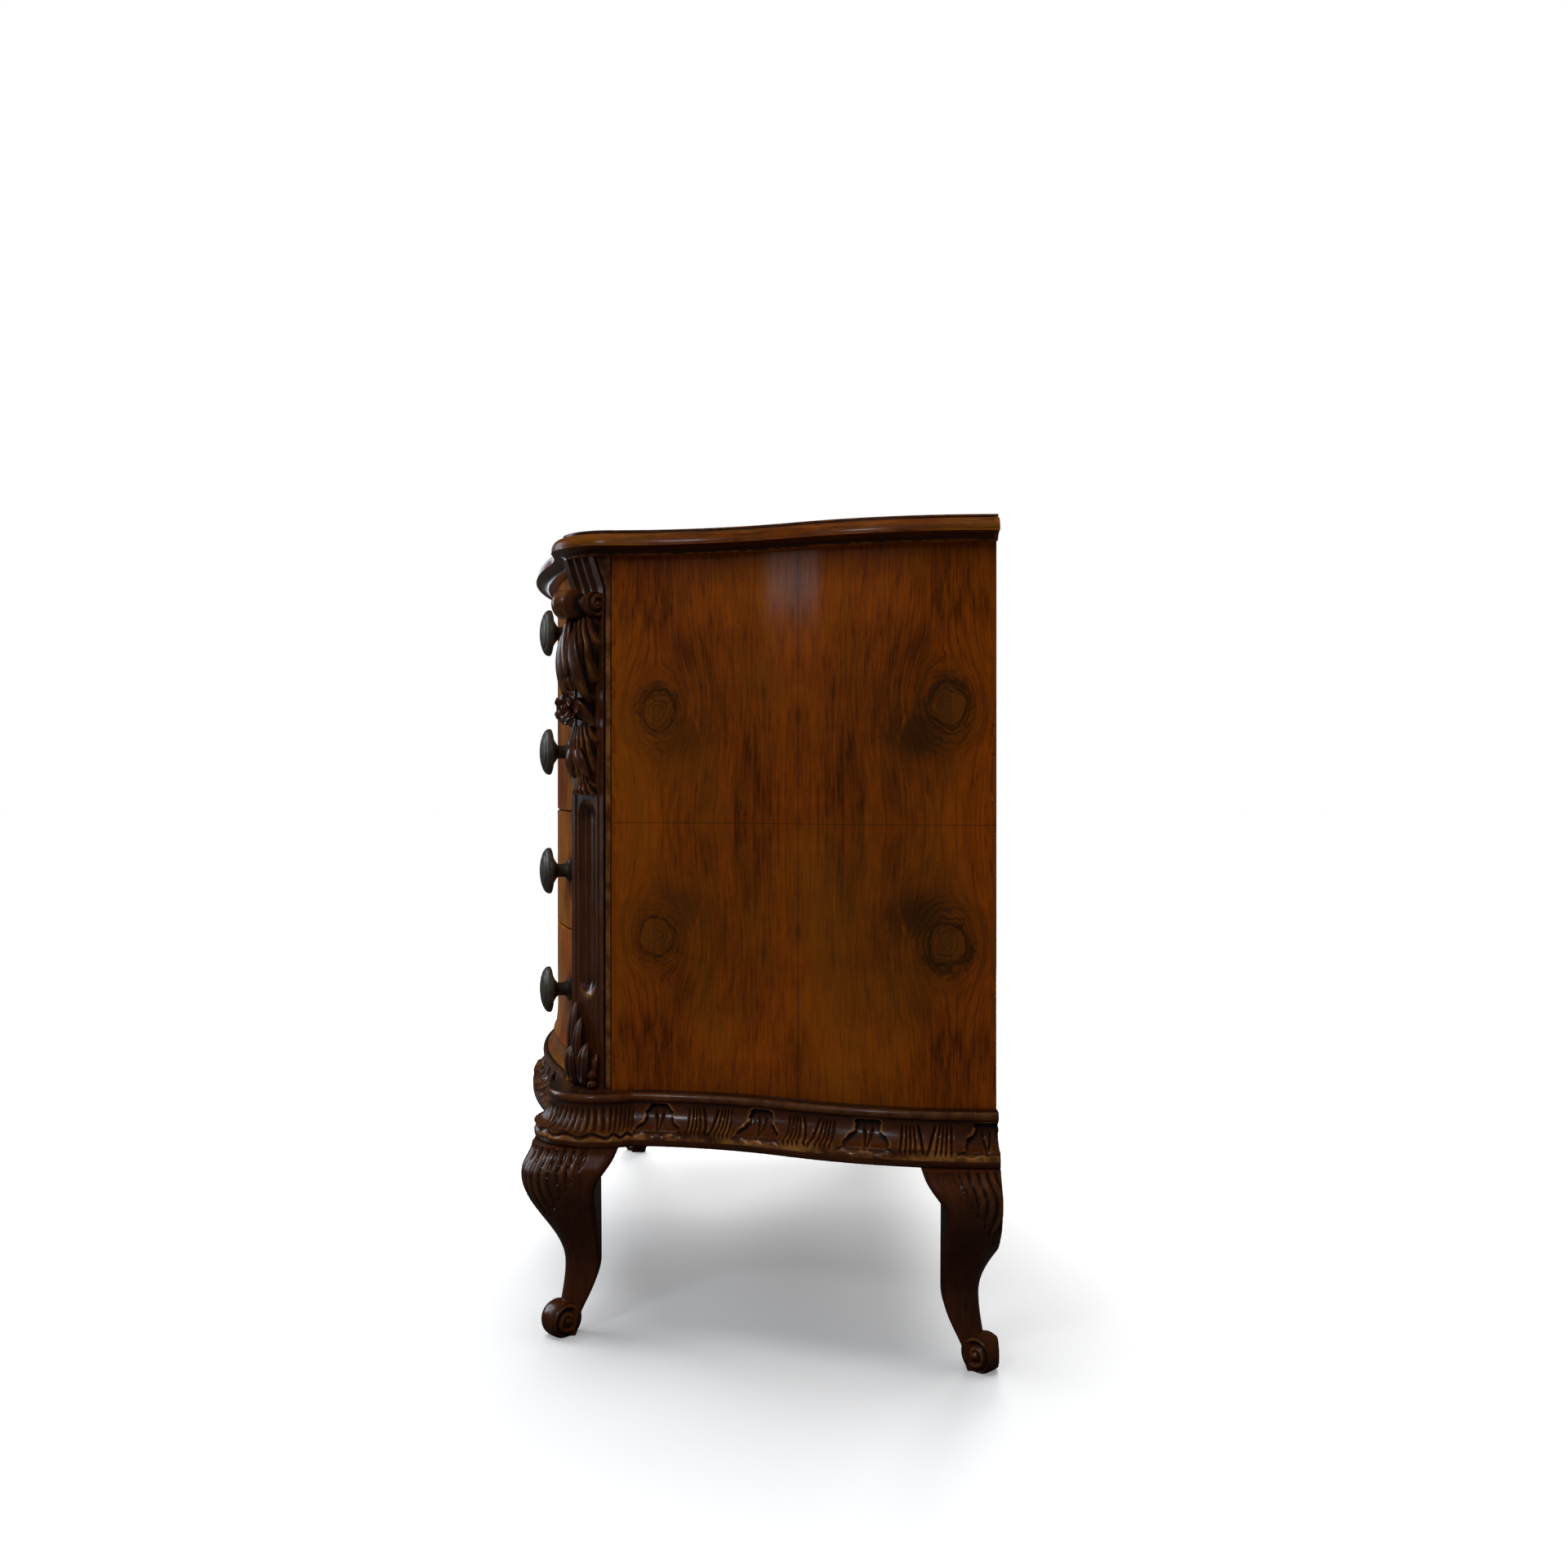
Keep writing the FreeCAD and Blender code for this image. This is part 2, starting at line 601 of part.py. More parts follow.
def leaf_mass(top_z, height, half_width, depth, stations):
    """Body of a carved leaf on the cant.

    Each station gives how far down the height it is, and its shares of the width and depth.
    """
    sections = []
    for down, width_share, depth_share in stations:
        z = top_z - down * height
        left = cant_point(-width_share * half_width, CANT_DISTANCE, z)
        right = cant_point(width_share * half_width, CANT_DISTANCE, z)
        crown = cant_point(0, CANT_DISTANCE + depth_share * depth, z)
        sections.append(Part.Wire([Part.Arc(left, crown, right).toShape(), Part.makeLine(right, left)]))
    return Part.makeLoft(sections, True, True)


def make_leaf_drop():
    """Upper leaf curling out at its tip, rosette, and lower leaf ending in a bell."""
    upper = leaf_mass(
        LEAF_TOP_Z,
        UPPER_LEAF_LENGTH,
        UPPER_LEAF_HALF_WIDTH,
        UPPER_LEAF_DEPTH,
        ((0, 0.8, 0.6), (0.2, 0.95, 0.75), (0.45, 1, 0.9), (0.7, 0.9, 1), (0.88, 0.7, 0.95), (1, 0.4, 0.7)),
    )
    upper = upper.cut(make_console_scroll())
    rosette_foot = cant_point(0, CANT_DISTANCE, ROSETTE_Z)
    rosette = Part.makeCone(ROSETTE_RADIUS, ROSETTE_FACE_RADIUS, ROSETTE_DEPTH, rosette_foot, OUT_OF_CANT)
    lower = leaf_mass(
        LOWER_LEAF_Z,
        LOWER_LEAF_LENGTH,
        LOWER_LEAF_HALF_WIDTH,
        LOWER_LEAF_DEPTH,
        ((0, 0.7, 0.8), (0.2, 0.95, 1), (0.45, 0.9, 0.95), (0.65, 0.7, 0.6), (0.8, 1, 0.75), (1, 1, 0.5)),
    )
    return Part.makeCompound([upper, rosette, lower])


def make_base_leaf():
    """Leaf cluster standing on the base against the foot of the pilaster."""
    return leaf_mass(
        CASE_Z + BASE_LEAF_HEIGHT,
        BASE_LEAF_HEIGHT,
        BASE_LEAF_HALF_WIDTH,
        BASE_LEAF_DEPTH,
        ((0, 0.2, 0.3), (0.2, 0.6, 0.5), (0.45, 0.85, 0.8), (0.75, 1, 1), (1, 0.85, 0.75)),
    )


# Drawers

def drawer_low(number):
    """Height of the seam under a drawer, numbered from the top."""
    return DRAWERS_Z + DRAWER_PITCH * (DRAWER_COUNT - number)


def front_foot(x):
    """Point of the front at a given x on the right, and the direction straight out of it."""
    if x > FRONT_JOINT_X:
        centre = Vector(CORNER_X, FRONT_HOLLOW_Y, 0)
        foot = Vector(x, centre.y + math.sqrt(FRONT_HOLLOW_RADIUS ** 2 - (CORNER_X - x) ** 2), 0)
        return foot, (centre - foot).normalize()
    centre = Vector(0, CREST_Y + FRONT_CREST_RADIUS, 0)
    foot = Vector(x, centre.y - math.sqrt(FRONT_CREST_RADIUS ** 2 - x ** 2), 0)
    return foot, (foot - centre).normalize()


def make_drawer_front(number):
    """Serpentine front of even thickness. The lowest one runs out into the cove below it."""
    z_low = drawer_low(number) + DRAWER_GAP / 2
    z_high = drawer_low(number) + DRAWER_PITCH - DRAWER_GAP / 2
    half_width = OPENING_HALF_WIDTH - DRAWER_EDGE_GAP
    outside = slab(0, z_low, z_high)
    if number == DRAWER_COUNT:
        flare = [(RAIL_HEAD_OUT, z_low)]
        flare += quarter(flare[-1], (0, z_low + FLARE_HEIGHT), False)
        outside = moulded(flare + [(0, z_high)])
    front = outside.cut(slab(-FRONT_THICKNESS, z_low, z_high))
    return front.common(block(-half_width, half_width, -FAR, CORNER_Y, z_low, z_high))


def make_drawer_side(box_z):
    """Right side of a drawer, its front end cut into dovetails that lap into the front."""
    inner = DRAWER_HALF_WIDTH - DRAWER_SIDE_THICKNESS
    z_high = box_z + DRAWER_SIDE_HEIGHT
    room = block(inner, DRAWER_HALF_WIDTH, -FAR, DRAWER_END_Y, box_z, z_high)
    side = slab(-FRONT_THICKNESS, box_z, z_high).common(room)
    tip_y = front_foot(inner)[0].y
    root_y = tip_y + FRONT_THICKNESS + DRAWER_SIDE_THICKNESS
    tail_pitch = DRAWER_SIDE_HEIGHT / TAIL_COUNT
    tails = []
    for step in range(TAIL_COUNT):
        middle = box_z + tail_pitch * (step + 0.5)
        wide = TAIL_HALF_WIDTH + TAIL_FLARE
        corners = [
            Vector(inner, root_y, middle - TAIL_HALF_WIDTH),
            Vector(inner, tip_y, middle - wide),
            Vector(inner, tip_y, middle + wide),
            Vector(inner, root_y, middle + TAIL_HALF_WIDTH),
        ]
        face = Part.Face(Part.makePolygon(corners + corners[:1]))
        tails.append(face.extrude(Vector(DRAWER_SIDE_THICKNESS, 0, 0)))
    lapped = slab(-TAIL_LAP, box_z, z_high)
    return side.fuse([tail.common(lapped) for tail in tails]).removeSplitter()


def make_drawer_back(box_z):
    """Back of a drawer, housed in the sides and standing on the bottom."""
    half_width = DRAWER_HALF_WIDTH - DRAWER_SIDE_THICKNESS + DRAWER_BACK_HOUSING
    z_low = box_z + DRAWER_BOTTOM_LIFT + DRAWER_BOTTOM_THICKNESS
    front_y = DRAWER_END_Y - 2 * DRAWER_SIDE_THICKNESS
    rear_y = DRAWER_END_Y - DRAWER_SIDE_THICKNESS
    return block(-half_width, half_width, front_y, rear_y, z_low, box_z + DRAWER_SIDE_HEIGHT)


def make_drawer_bottom(box_z):
    """Bottom of a drawer, in grooves of the sides and of the serpentine front."""
    half_width = DRAWER_HALF_WIDTH - DRAWER_SIDE_THICKNESS + DRAWER_GROOVE
    z_low = box_z + DRAWER_BOTTOM_LIFT
    z_high = z_low + DRAWER_BOTTOM_THICKNESS
    rear_y = DRAWER_END_Y - DRAWER_SIDE_THICKNESS
    room = block(-half_width, half_width, -FAR, rear_y, z_low, z_high)
    return slab(DRAWER_GROOVE - FRONT_THICKNESS, z_low, z_high).common(room)


def turned(edges, foot, axis):
    """Solid of revolution from a profile in the XZ plane, set up along an axis."""
    solid = Part.Face(Part.Wire(edges)).revolve(Vector(0, 0, 0), Vector(0, 0, 1), 360)
    solid.Placement = FreeCAD.Placement(foot, FreeCAD.Rotation(Vector(0, 0, 1), axis))
    return solid


def make_knob(middle_z):
    """Right knob: rose, stem, conical back, rim and domed face."""
    rim_low = KNOB_PROJECTION - KNOB_DOME - KNOB_RIM
    rim_high = KNOB_PROJECTION - KNOB_DOME
    back = rim_low - KNOB_BACK
    corners = [
        Vector(0, 0, -KNOB_SEAT),
        Vector(KNOB_ROSE_RADIUS, 0, -KNOB_SEAT),
        Vector(KNOB_ROSE_RADIUS, 0, KNOB_ROSE_THICKNESS),
        Vector(KNOB_STEM_RADIUS, 0, KNOB_ROSE_THICKNESS),
        Vector(KNOB_STEM_RADIUS, 0, back),
        Vector(KNOB_RADIUS, 0, rim_low),
        Vector(KNOB_RADIUS, 0, rim_high),
    ]
    edges = [Part.makeLine(start, end) for start, end in zip(corners, corners[1:])]
    dome_radius = (KNOB_RADIUS ** 2 + KNOB_DOME ** 2) / (2 * KNOB_DOME)
    half_angle = math.asin(KNOB_RADIUS / dome_radius) / 2
    shoulder_z = KNOB_PROJECTION - dome_radius * (1 - math.cos(half_angle))
    shoulder = Vector(dome_radius * math.sin(half_angle), 0, shoulder_z)
    crown = Vector(0, 0, KNOB_PROJECTION)
    edges.append(Part.Arc(corners[-1], shoulder, crown).toShape())
    edges.append(Part.makeLine(crown, corners[0]))
    foot, axis = front_foot(KNOB_PLACE)
    return turned(edges, foot + Vector(0, 0, middle_z), axis)


def make_knob_screw(middle_z, slack):
    """Right knob's screw, from its head inside the drawer into the stem."""
    foot, axis = front_foot(KNOB_PLACE)
    foot += Vector(0, 0, middle_z)
    inside = foot - axis * FRONT_THICKNESS
    shank_length = FRONT_THICKNESS + KNOB_SCREW_BITE
    shank = Part.makeCylinder(KNOB_SCREW_RADIUS + slack, shank_length, inside, axis)
    head_start = inside - axis * KNOB_SCREW_HEAD
    head = Part.makeCylinder(KNOB_SCREW_HEAD_RADIUS, KNOB_SCREW_HEAD, head_start, axis)
    return shank.fuse(head).removeSplitter()


def save_drawer(number):
    """Write the pieces of one drawer, each cut to fit its neighbours."""
    name = "drawer_{}_".format(number)
    middle_z = drawer_low(number) + DRAWER_PITCH / 2
    box_z = drawer_low(number) + BOARD_RISE + DRAWER_RUN_GAP
    bottom = make_drawer_bottom(box_z)
    back = make_drawer_back(box_z)
    side = make_drawer_side(box_z).cut([back, bottom])
    screw = make_knob_screw(middle_z, 0)
    screw_hole = make_knob_screw(middle_z, KNOB_HOLE_GAP)
    plain_front = make_drawer_front(number)
    knob = make_knob(middle_z).cut([plain_front, screw])
    front = plain_front.cut([side, mirrored(side), bottom, screw_hole, mirrored(screw_hole)])
    save(name + "front", front)
    save(name + "back", back)
    save(name + "bottom", bottom)
    save(name + "side_right", side)
    save(name + "side_left", mirrored(side))
    save(name + "knobs", both_sides(knob))
    save(name + "knob_screws", both_sides(screw))


# Screws

def make_screw(point, direction):
    """Countersunk screw with the face of its head at a point."""
    shank = Part.makeCylinder(SCREW_RADIUS, SCREW_LENGTH, point, direction)
    head = Part.makeCone(SCREW_HEAD_RADIUS, SCREW_RADIUS, SCREW_HEAD_HEIGHT, point, direction)
    return shank.fuse(head).removeSplitter()


def back_screws(board_middles):
    """Screws through the back panel into the boards at these heights, for both sides."""
    return [
        make_screw(Vector(x, REAR_Y, z), Vector(0, -1, 0))
        for z in board_middles
        for x in (-SCREW_PLACE, SCREW_PLACE)
    ]


def top_screws():
    """Screws up through the two top rails into the top board."""
    rail_z = TOP_Z - TOP_RAIL_THICKNESS
    rows = (CORNER_Y + TOP_RAIL_DEPTH / 2, BACK_Y - TOP_RAIL_DEPTH / 2)
    return [
        make_screw(Vector(x, y, rail_z), Vector(0, 0, 1))
        for y in rows
        for x in (-SCREW_PLACE, SCREW_PLACE)
    ]


def save_case():
    """Write the top, the case boards, the pilasters with their carvings, and the screws."""
    rail_z = TOP_Z - TOP_RAIL_THICKNESS
    bottom_z = DRAWERS_Z + BOARD_RISE - BOTTOM_THICKNESS
    front_rail = make_board(rail_z, TOP_RAIL_THICKNESS, CORNER_Y + TOP_RAIL_DEPTH)
    rear_rail = make_cross_rail(rail_z, TOP_RAIL_THICKNESS, BACK_Y - TOP_RAIL_DEPTH, BACK_Y)
    case_bottom = make_board(bottom_z, BOTTOM_THICKNESS, BACK_Y)
    dust_boards = [
        make_board(drawer_low(number) - BOARD_RISE, DUST_THICKNESS, BACK_Y)
        for number in range(1, DRAWER_COUNT)
    ]
    middle_z = drawer_low(DRAWER_COUNT // 2)
    screws = back_screws((bottom_z + BOTTOM_THICKNESS / 2, middle_z, rail_z + TOP_RAIL_THICKNESS / 2))
    screws += top_screws()
    boards = dust_boards + [front_rail, rear_rail, case_bottom]
    save("top_board", make_top_board().cut(screws))
    save_pair("side_panel", make_side_panel(boards))
    save("back_panel", make_back_panel().cut(screws))
    save("case_bottom", case_bottom.cut(screws))
    save("front_top_rail", front_rail.cut(screws))
    save("rear_top_rail", rear_rail.cut(screws))
    save("front_bottom_rail", make_bottom_rail())
    for number, board in enumerate(dust_boards, 1):
        save("dust_board_{}".format(number), board.cut(screws))
    save_pair("drawer_guides", make_guides([drawer_low(n) + BOARD_RISE for n in range(1, DRAWER_COUNT + 1)]))
    save_pair("pilaster", make_pilaster())
    save_pair("console_scroll", make_console_scroll())
    save_pair("leaf_drop", make_leaf_drop())
    save_pair("base_leaf", make_base_leaf())
    save("case_screws", Part.makeCompound(screws))


def save_stand():
    """Write the base mouldings, the legs and what joins them."""
    front_place = (CORNER_X + FRONT_LEG_SHIFT, CORNER_Y - FRONT_LEG_SHIFT)
    rear_place = (REAR_HALF_WIDTH - REAR_LEG_INSET, REAR_Y - REAR_LEG_DEPTH)
    dowels = make_dowels(front_place, -1, ((DOWEL_NEAR, DOWEL_FAR), (DOWEL_FAR, DOWEL_NEAR)))
    rear_steps = [(REAR_LEG_INSET, along) for along in (DOWEL_NEAR, REAR_LEG_DEPTH - DOWEL_NEAR)]
    dowels += make_dowels(rear_place, 1, rear_steps)
    front, right = mitred(make_base_ring())
    all_dowels = dowels + [mirrored(dowel) for dowel in dowels]
    save("base_moulding_front", front.cut(all_dowels))
    save_pair("base_moulding", right.cut(dowels))
    save("base_rear_rail", make_base_rear_rail())
    save("corner_blocks", make_corner_blocks())
    save_pair("leg_front", make_leg(front_place, -1).cut(dowels))
    save_pair("leg_rear", make_leg(rear_place, 1).cut(dowels))
    save("leg_dowels", Part.makeCompound(all_dowels))


os.makedirs("parts", exist_ok=True)
save_case()
save_stand()
for drawer_number in range(1, DRAWER_COUNT + 1):
    save_drawer(drawer_number)
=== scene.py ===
"""Looks of a serpentine commode with four drawers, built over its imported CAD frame.

Lengths are in metres, +Z is up and the front faces -Y. The plan of the case is drawn once as
tangent arcs, and every moulding is a profile carried along that plan.
"""
import math

import bmesh
import bpy
import numpy as np
from bpy.props import FloatProperty, FloatVectorProperty, IntProperty, PointerProperty
from bpy.types import Operator, Panel, PropertyGroup
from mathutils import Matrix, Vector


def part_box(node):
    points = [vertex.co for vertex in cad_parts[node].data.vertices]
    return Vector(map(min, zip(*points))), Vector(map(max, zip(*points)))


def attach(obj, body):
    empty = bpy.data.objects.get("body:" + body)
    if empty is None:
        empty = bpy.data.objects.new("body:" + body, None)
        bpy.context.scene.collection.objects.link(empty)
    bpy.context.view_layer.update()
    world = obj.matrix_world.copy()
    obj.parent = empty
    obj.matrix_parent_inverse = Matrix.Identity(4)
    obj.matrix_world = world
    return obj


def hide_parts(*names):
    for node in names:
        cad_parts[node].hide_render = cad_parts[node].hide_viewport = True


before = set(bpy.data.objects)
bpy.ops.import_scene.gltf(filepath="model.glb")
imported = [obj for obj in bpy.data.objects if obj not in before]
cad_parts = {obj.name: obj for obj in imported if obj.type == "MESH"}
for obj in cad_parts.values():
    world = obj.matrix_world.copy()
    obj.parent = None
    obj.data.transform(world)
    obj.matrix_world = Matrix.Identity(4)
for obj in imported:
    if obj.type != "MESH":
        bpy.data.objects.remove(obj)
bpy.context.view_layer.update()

bl_info = {
    "name": "Serpentine commode",
    "version": (1, 0, 0),
    "blender": (4, 5, 0),
    "location": "3D View > Sidebar > Commode",
    "description": "Veneered case, carved corners, mouldings and legs of a serpentine commode",
    "category": "Object",
}

# Places taken from the frame
SIDE_LOW, SIDE_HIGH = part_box("side_panel_right")
TOP_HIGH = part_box("top_board")[1]
BASE_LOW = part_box("base_moulding_front")[0]
BASE_LEAF_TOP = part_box("base_leaf_right")[1].z
DROP_LOW, DROP_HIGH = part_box("leaf_drop_right")
CREST_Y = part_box("drawer_1_front")[0].y
OPENING_HALF_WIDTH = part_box("front_bottom_rail")[1].x
REAR_HALF_WIDTH, REAR_Y = SIDE_HIGH.x, SIDE_HIGH.y
CORNER_Y = SIDE_LOW.y
CASE_Z, TOP_Z = SIDE_LOW.z, SIDE_HIGH.z
# Names and constants that several pieces share
DRAWERS = ("drawer_1", "drawer_2", "drawer_3", "drawer_4")
HANDS = {"right": 1, "left": -1}
CASE_BODY = "case"
WELD = 2e-5
UP = np.array([0.0, 0.0, 1.0])
HALF_ROOT = math.sqrt(0.5)


def length(name, description, default):
    """A size in metres for a property group."""
    return FloatProperty(name=name, description=description, default=default, unit="LENGTH", precision=4)


def number(name, description, default, unit="NONE"):
    """A number for a property group, in a unit where one fits."""
    return FloatProperty(name=name, description=description, default=default, unit=unit)


def colour(name, description, default):
    """A linear colour for a property group."""
    settings = {"name": name, "description": description, "default": default}
    return FloatVectorProperty(**settings, subtype="COLOR", size=3, min=0, max=1)


class PlanSizes(PropertyGroup):
    """Plan of the case, which every moulding follows."""
    corner_radius: length("Corner radius", "Radius of the front corners in plan", 0.052)
    hollow_radius: length("Hollow radius", "Radius of the hollow beside each front corner", 0.280)
    panel_thickness: length("Panel thickness", "Thickness of the side panels", 0.020)
    front_thickness: length("Front thickness", "Thickness of the drawer fronts", 0.024)
    housing: length("Housing", "How far the boards are let into the sides", 0.006)
    back_thickness: length("Back thickness", "Thickness of the back panel", 0.012)
    rabbet_lip: length("Rabbet lip", "Wood left outside the back panel", 0.010)
    step: length("Step", "Distance between points along the plan", 0.006)


class TopSizes(PropertyGroup):
    """Edge of the top board."""
    bed_out: length("Bed out", "Overhang of the underside", 0.013)
    nose_out: length("Nose out", "Overhang of the nose", 0.031)
    cove_height: length("Cove height", "Height of the cove under the nose", 0.009)
    nose_height: length("Nose height", "Height of the flat nose", 0.003)
    fillet_out: length("Fillet out", "Overhang of the upper edge", 0.016)
    fillet_height: length("Fillet height", "Height of the upper edge", 0.004)


class BaseSizes(PropertyGroup):
    """Carved band under the case and the coved rail above it."""
    fillet_out: length("Fillet out", "Projection of the lowest fillet", 0.033)
    fillet_height: length("Fillet height", "Height of the lowest fillet", 0.008)
    nose_out: length("Nose out", "Projection of the carved band at its foot", 0.036)
    nose_height: length("Nose height", "Height of the straight foot of the band", 0.013)
    hollow_out: length("Hollow out", "Projection of the band under the bead", 0.016)
    bead_out: length("Bead out", "Projection of the bead", 0.021)
    bead_height: length("Bead height", "Height of the bead", 0.012)
    inside: length("Inside", "Thickness behind the face of the case", 0.030)
    stroke_pitch: length("Stroke pitch", "From stroke to stroke on the round corners", 0.0055)
    knuckle_radius: length("Knuckle radius", "Radius of the round corners over the front legs", 0.088)
    knuckle_shift: length("Knuckle shift", "Knuckle's axis outside the corner's centre", 0.014)
    lappet_pitch: length("Lappet pitch", "Distance between the carved leaves", 0.1354)
    lappet_phase: length("Lappet phase", "First leaf of the sides from the rear", 0.0133)
    lappet_foot: length("Lappet foot", "Half width of a leaf at its foot", 0.042)
    lappet_head: length("Lappet head", "Half width of a leaf at its head", 0.012)
    lappet_depth: length("Lappet depth", "How deep the leaves are scooped", 0.0065)
    gouge_depth: length("Gouge depth", "Depth of the strokes between the leaves", 0.0034)
    step: length("Carving step", "Distance between points along the front band", 0.0016)
    side_step: length("Side step", "Distance between points along the side bands", 0.0011)
    rail_foot_out: length("Rail foot out", "Projection of the cove at its foot", 0.014)
    rail_head_out: length("Rail head out", "Projection of the cove at the lowest drawer", 0.006)
    flare_height: length("Flare height", "Height over which the lowest drawer flares", 0.040)


class CornerSizes(PropertyGroup):
    """Canted corner pilaster and what is carved on it."""
    cant_distance: length("Cant distance", "Distance of the cant from the corner's centre", 0.0445)
    proud: length("Proud", "How far the pilaster stands before the drawers", 0.004)
    flute_half_width: length("Flute half width", "Half the width of the wide flute", 0.018)
    flute_depth: length("Flute depth", "Depth of the wide flute", 0.007)
    groove_place: length("Groove place", "Distance of the narrow grooves from the middle", 0.023)
    groove_radius: length("Groove radius", "Radius of the narrow grooves", 0.002)
    capital_height: length("Capital height", "Height of the flaring head", 0.040)
    capital_out: length("Capital out", "How far the head flares", 0.011)
    capital_side_out: length("Capital side out", "How far the head flares to the side", 0.003)
    scroll_drop: length("Scroll drop", "Scroll's middle below the top of the case", 0.060)
    scroll_half_length: length("Scroll half length", "Half the length of the scroll", 0.028)
    bulb_radius: length("Bulb radius", "Radius of the scroll's bulb", 0.018)
    neck_radius: length("Neck radius", "Radius of the scroll's necks", 0.011)
    eye_radius: length("Eye radius", "Radius of the scroll's ends", 0.0155)
    scroll_seat: length("Scroll seat", "How far the scroll's ends stand off the cant", 0.006)
    scroll_bow: length("Scroll bow", "How far the bulb bows out", 0.028)


class LegSizes(PropertyGroup):
    """Cabriole legs, measured from the inner corner of a square blank."""
    height: length("Leg height", "Height of the legs", 0.240)
    knee_size: length("Knee size", "Reach of the knee", 0.099)
    knee_height: length("Knee height", "Height of the widest part of the knee", 0.208)
    top_size: length("Top size", "Reach at the top", 0.088)
    ankle_size: length("Ankle size", "Reach of the ankle", 0.048)
    ankle_height: length("Ankle height", "Height of the ankle", 0.085)
    foot_size: length("Foot size", "Reach at the floor", 0.056)
    foot_inset: length("Foot inset", "Inner edge at the floor", 0.032)
    shin_inset: length("Shin inset", "Inner edge from the ankle to the bracket", 0.005)
    bracket_height: length("Bracket height", "Height where the bracket begins", 0.184)
    bracket_reach: length("Bracket reach", "How far the bracket runs inward at the top", 0.022)
    roll_radius: length("Roll radius", "Radius of the scrolled toe", 0.023)
    roll_half_length: length("Roll half length", "Half the width of the scrolled toe", 0.012)
    roll_place: length("Roll place", "Place of the scrolled toe along the blank", 0.050)
    roll_height: length("Roll height", "Height of the toe's middle", 0.020)
    front_shift: length("Front shift", "Front leg's blank outside the corner's centre", 0.011)
    rear_inset: length("Rear inset", "Rear leg's blank inside the side of the case", 0.041)
    rear_depth: length("Rear depth", "Rear leg's blank before the back of the case", 0.068)


class KnobSizes(PropertyGroup):
    """Turned knobs on the drawer fronts."""
    inset: length("Inset", "Distance of a knob from the corner's centre", 0.115)
    radius: length("Radius", "Radius of the knob", 0.031)
    projection: length("Projection", "How far the knob stands out", 0.040)
    dome: length("Dome", "Height of the domed face", 0.011)
    rim: length("Rim", "Thickness of the rim", 0.002)
    back: length("Back", "Height of the conical back", 0.010)
    stem_radius: length("Stem radius", "Radius of the stem", 0.009)
    rose_radius: length("Rose radius", "Radius of the plate under the stem", 0.016)
    rose_thickness: length("Rose thickness", "Thickness of that plate", 0.003)
    segments: IntProperty(name="Segments", description="Points round a knob", default=96, min=12)


class FinishColours(PropertyGroup):
    """Colours of the woods and metals, and the places of the veneer's knots."""
    veneer_light: colour("Veneer light", "Orange tone of the polished veneer", (0.270, 0.054, 0.0012))
    veneer_dark: colour("Veneer dark", "Brown tone of the veneer's streaks", (0.042, 0.0078, 0.0004))
    veneer_gold: colour("Veneer gold", "Golden tone of the veneer's clouds", (0.220, 0.068, 0.0026))
    front_gold: colour("Front gold", "Golden tone of the drawers' clouds", (0.340, 0.118, 0.007))
    heart: colour("Heart", "Olive middle of the knots", (0.095, 0.042, 0.005))
    smoke: colour("Smoke", "Dark clouds beside the knots", (0.014, 0.008, 0.002))
    # Carved light is laid on proud parts as wear and painted highlight; carved dark is laid in hollows as
    # grime and painted shade.
    carved_light: colour("Carved light", "Worn edges of the carving", (0.260, 0.105, 0.022))
    carved_mid: colour("Carved middle", "Plain faces of the carving", (0.064, 0.0155, 0.0034))
    carved_brown: colour("Carved brown", "Dark streaks of the carved wood", (0.022, 0.0064, 0.0020))
    carved_dark: colour("Carved dark", "Dirt in the hollows of the carving", (0.007, 0.003, 0.0016))
    inner_light: colour("Inner light", "Light tone of the unseen boards", (0.300, 0.170, 0.075))
    inner_dark: colour("Inner dark", "Dark tone of the unseen boards", (0.160, 0.080, 0.032))
    bronze: colour("Bronze", "Worn tone of the knobs", (0.066, 0.050, 0.029))
    patina: colour("Patina", "Dull tone of the knobs' hollows", (0.021, 0.016, 0.010))
    steel: colour("Steel", "Screws", (0.350, 0.340, 0.330))
    knot_across: length("Knot across", "Knots' distance from the upright seam", 0.184)
    knot_along: length("Knot along", "Knots' distance from the level seam", 0.143)


class StageSettings(PropertyGroup):
    """Camera, floor and lights."""
    camera_distance: length("Camera distance", "Camera from the middle of the commode", 2.333)
    camera_side: length("Camera side", "Camera's place from front to back", 0.0644)
    camera_height: length("Camera height", "Camera above the floor", 0.685)
    lens: number("Lens", "Focal length in millimetres", 34.36, "CAMERA")
    sensor: number("Sensor", "Sensor width in millimetres", 36.0, "CAMERA")
    floor_size: length("Floor size", "Side of the floor", 60.0)
    sky_power: number("Sky power", "Strength of the light from above", 2.7)
    fill_power: number("Fill power", "Power of the light over the camera", 74.0, "POWER")
    front_power: number("Front power", "Power of the light at the front", 26.0, "POWER")
    window_power: number("Window power", "Power of the light in the polish", 1.3, "POWER")
    glint_power: number("Glint power", "Power of the light on the top", 16.0, "POWER")
    showing_power: number("Showing power", "Power of the light on the drawers", 38.0, "POWER")
    pane_power: number("Pane power", "Power of the narrow light at the front", 10.0, "POWER")
    spark_power: number("Spark power", "Power of the small light beside the camera", 8.0, "POWER")
    low_power: number("Low power", "Power of the light on the floor", 100.0, "POWER")
    ambient: number("Ambient", "Strength of the light from all round", 0.03)
    shadow_lift: number("Shadow lift", "Light of the floor in its shadows", 0.25)


GROUPS = {
    "commode_plan": PlanSizes,
    "commode_top": TopSizes,
    "commode_base": BaseSizes,
    "commode_corner": CornerSizes,
    "commode_leg": LegSizes,
    "commode_knob": KnobSizes,
    "commode_finish": FinishColours,
    "commode_stage": StageSettings,
}


# Curves

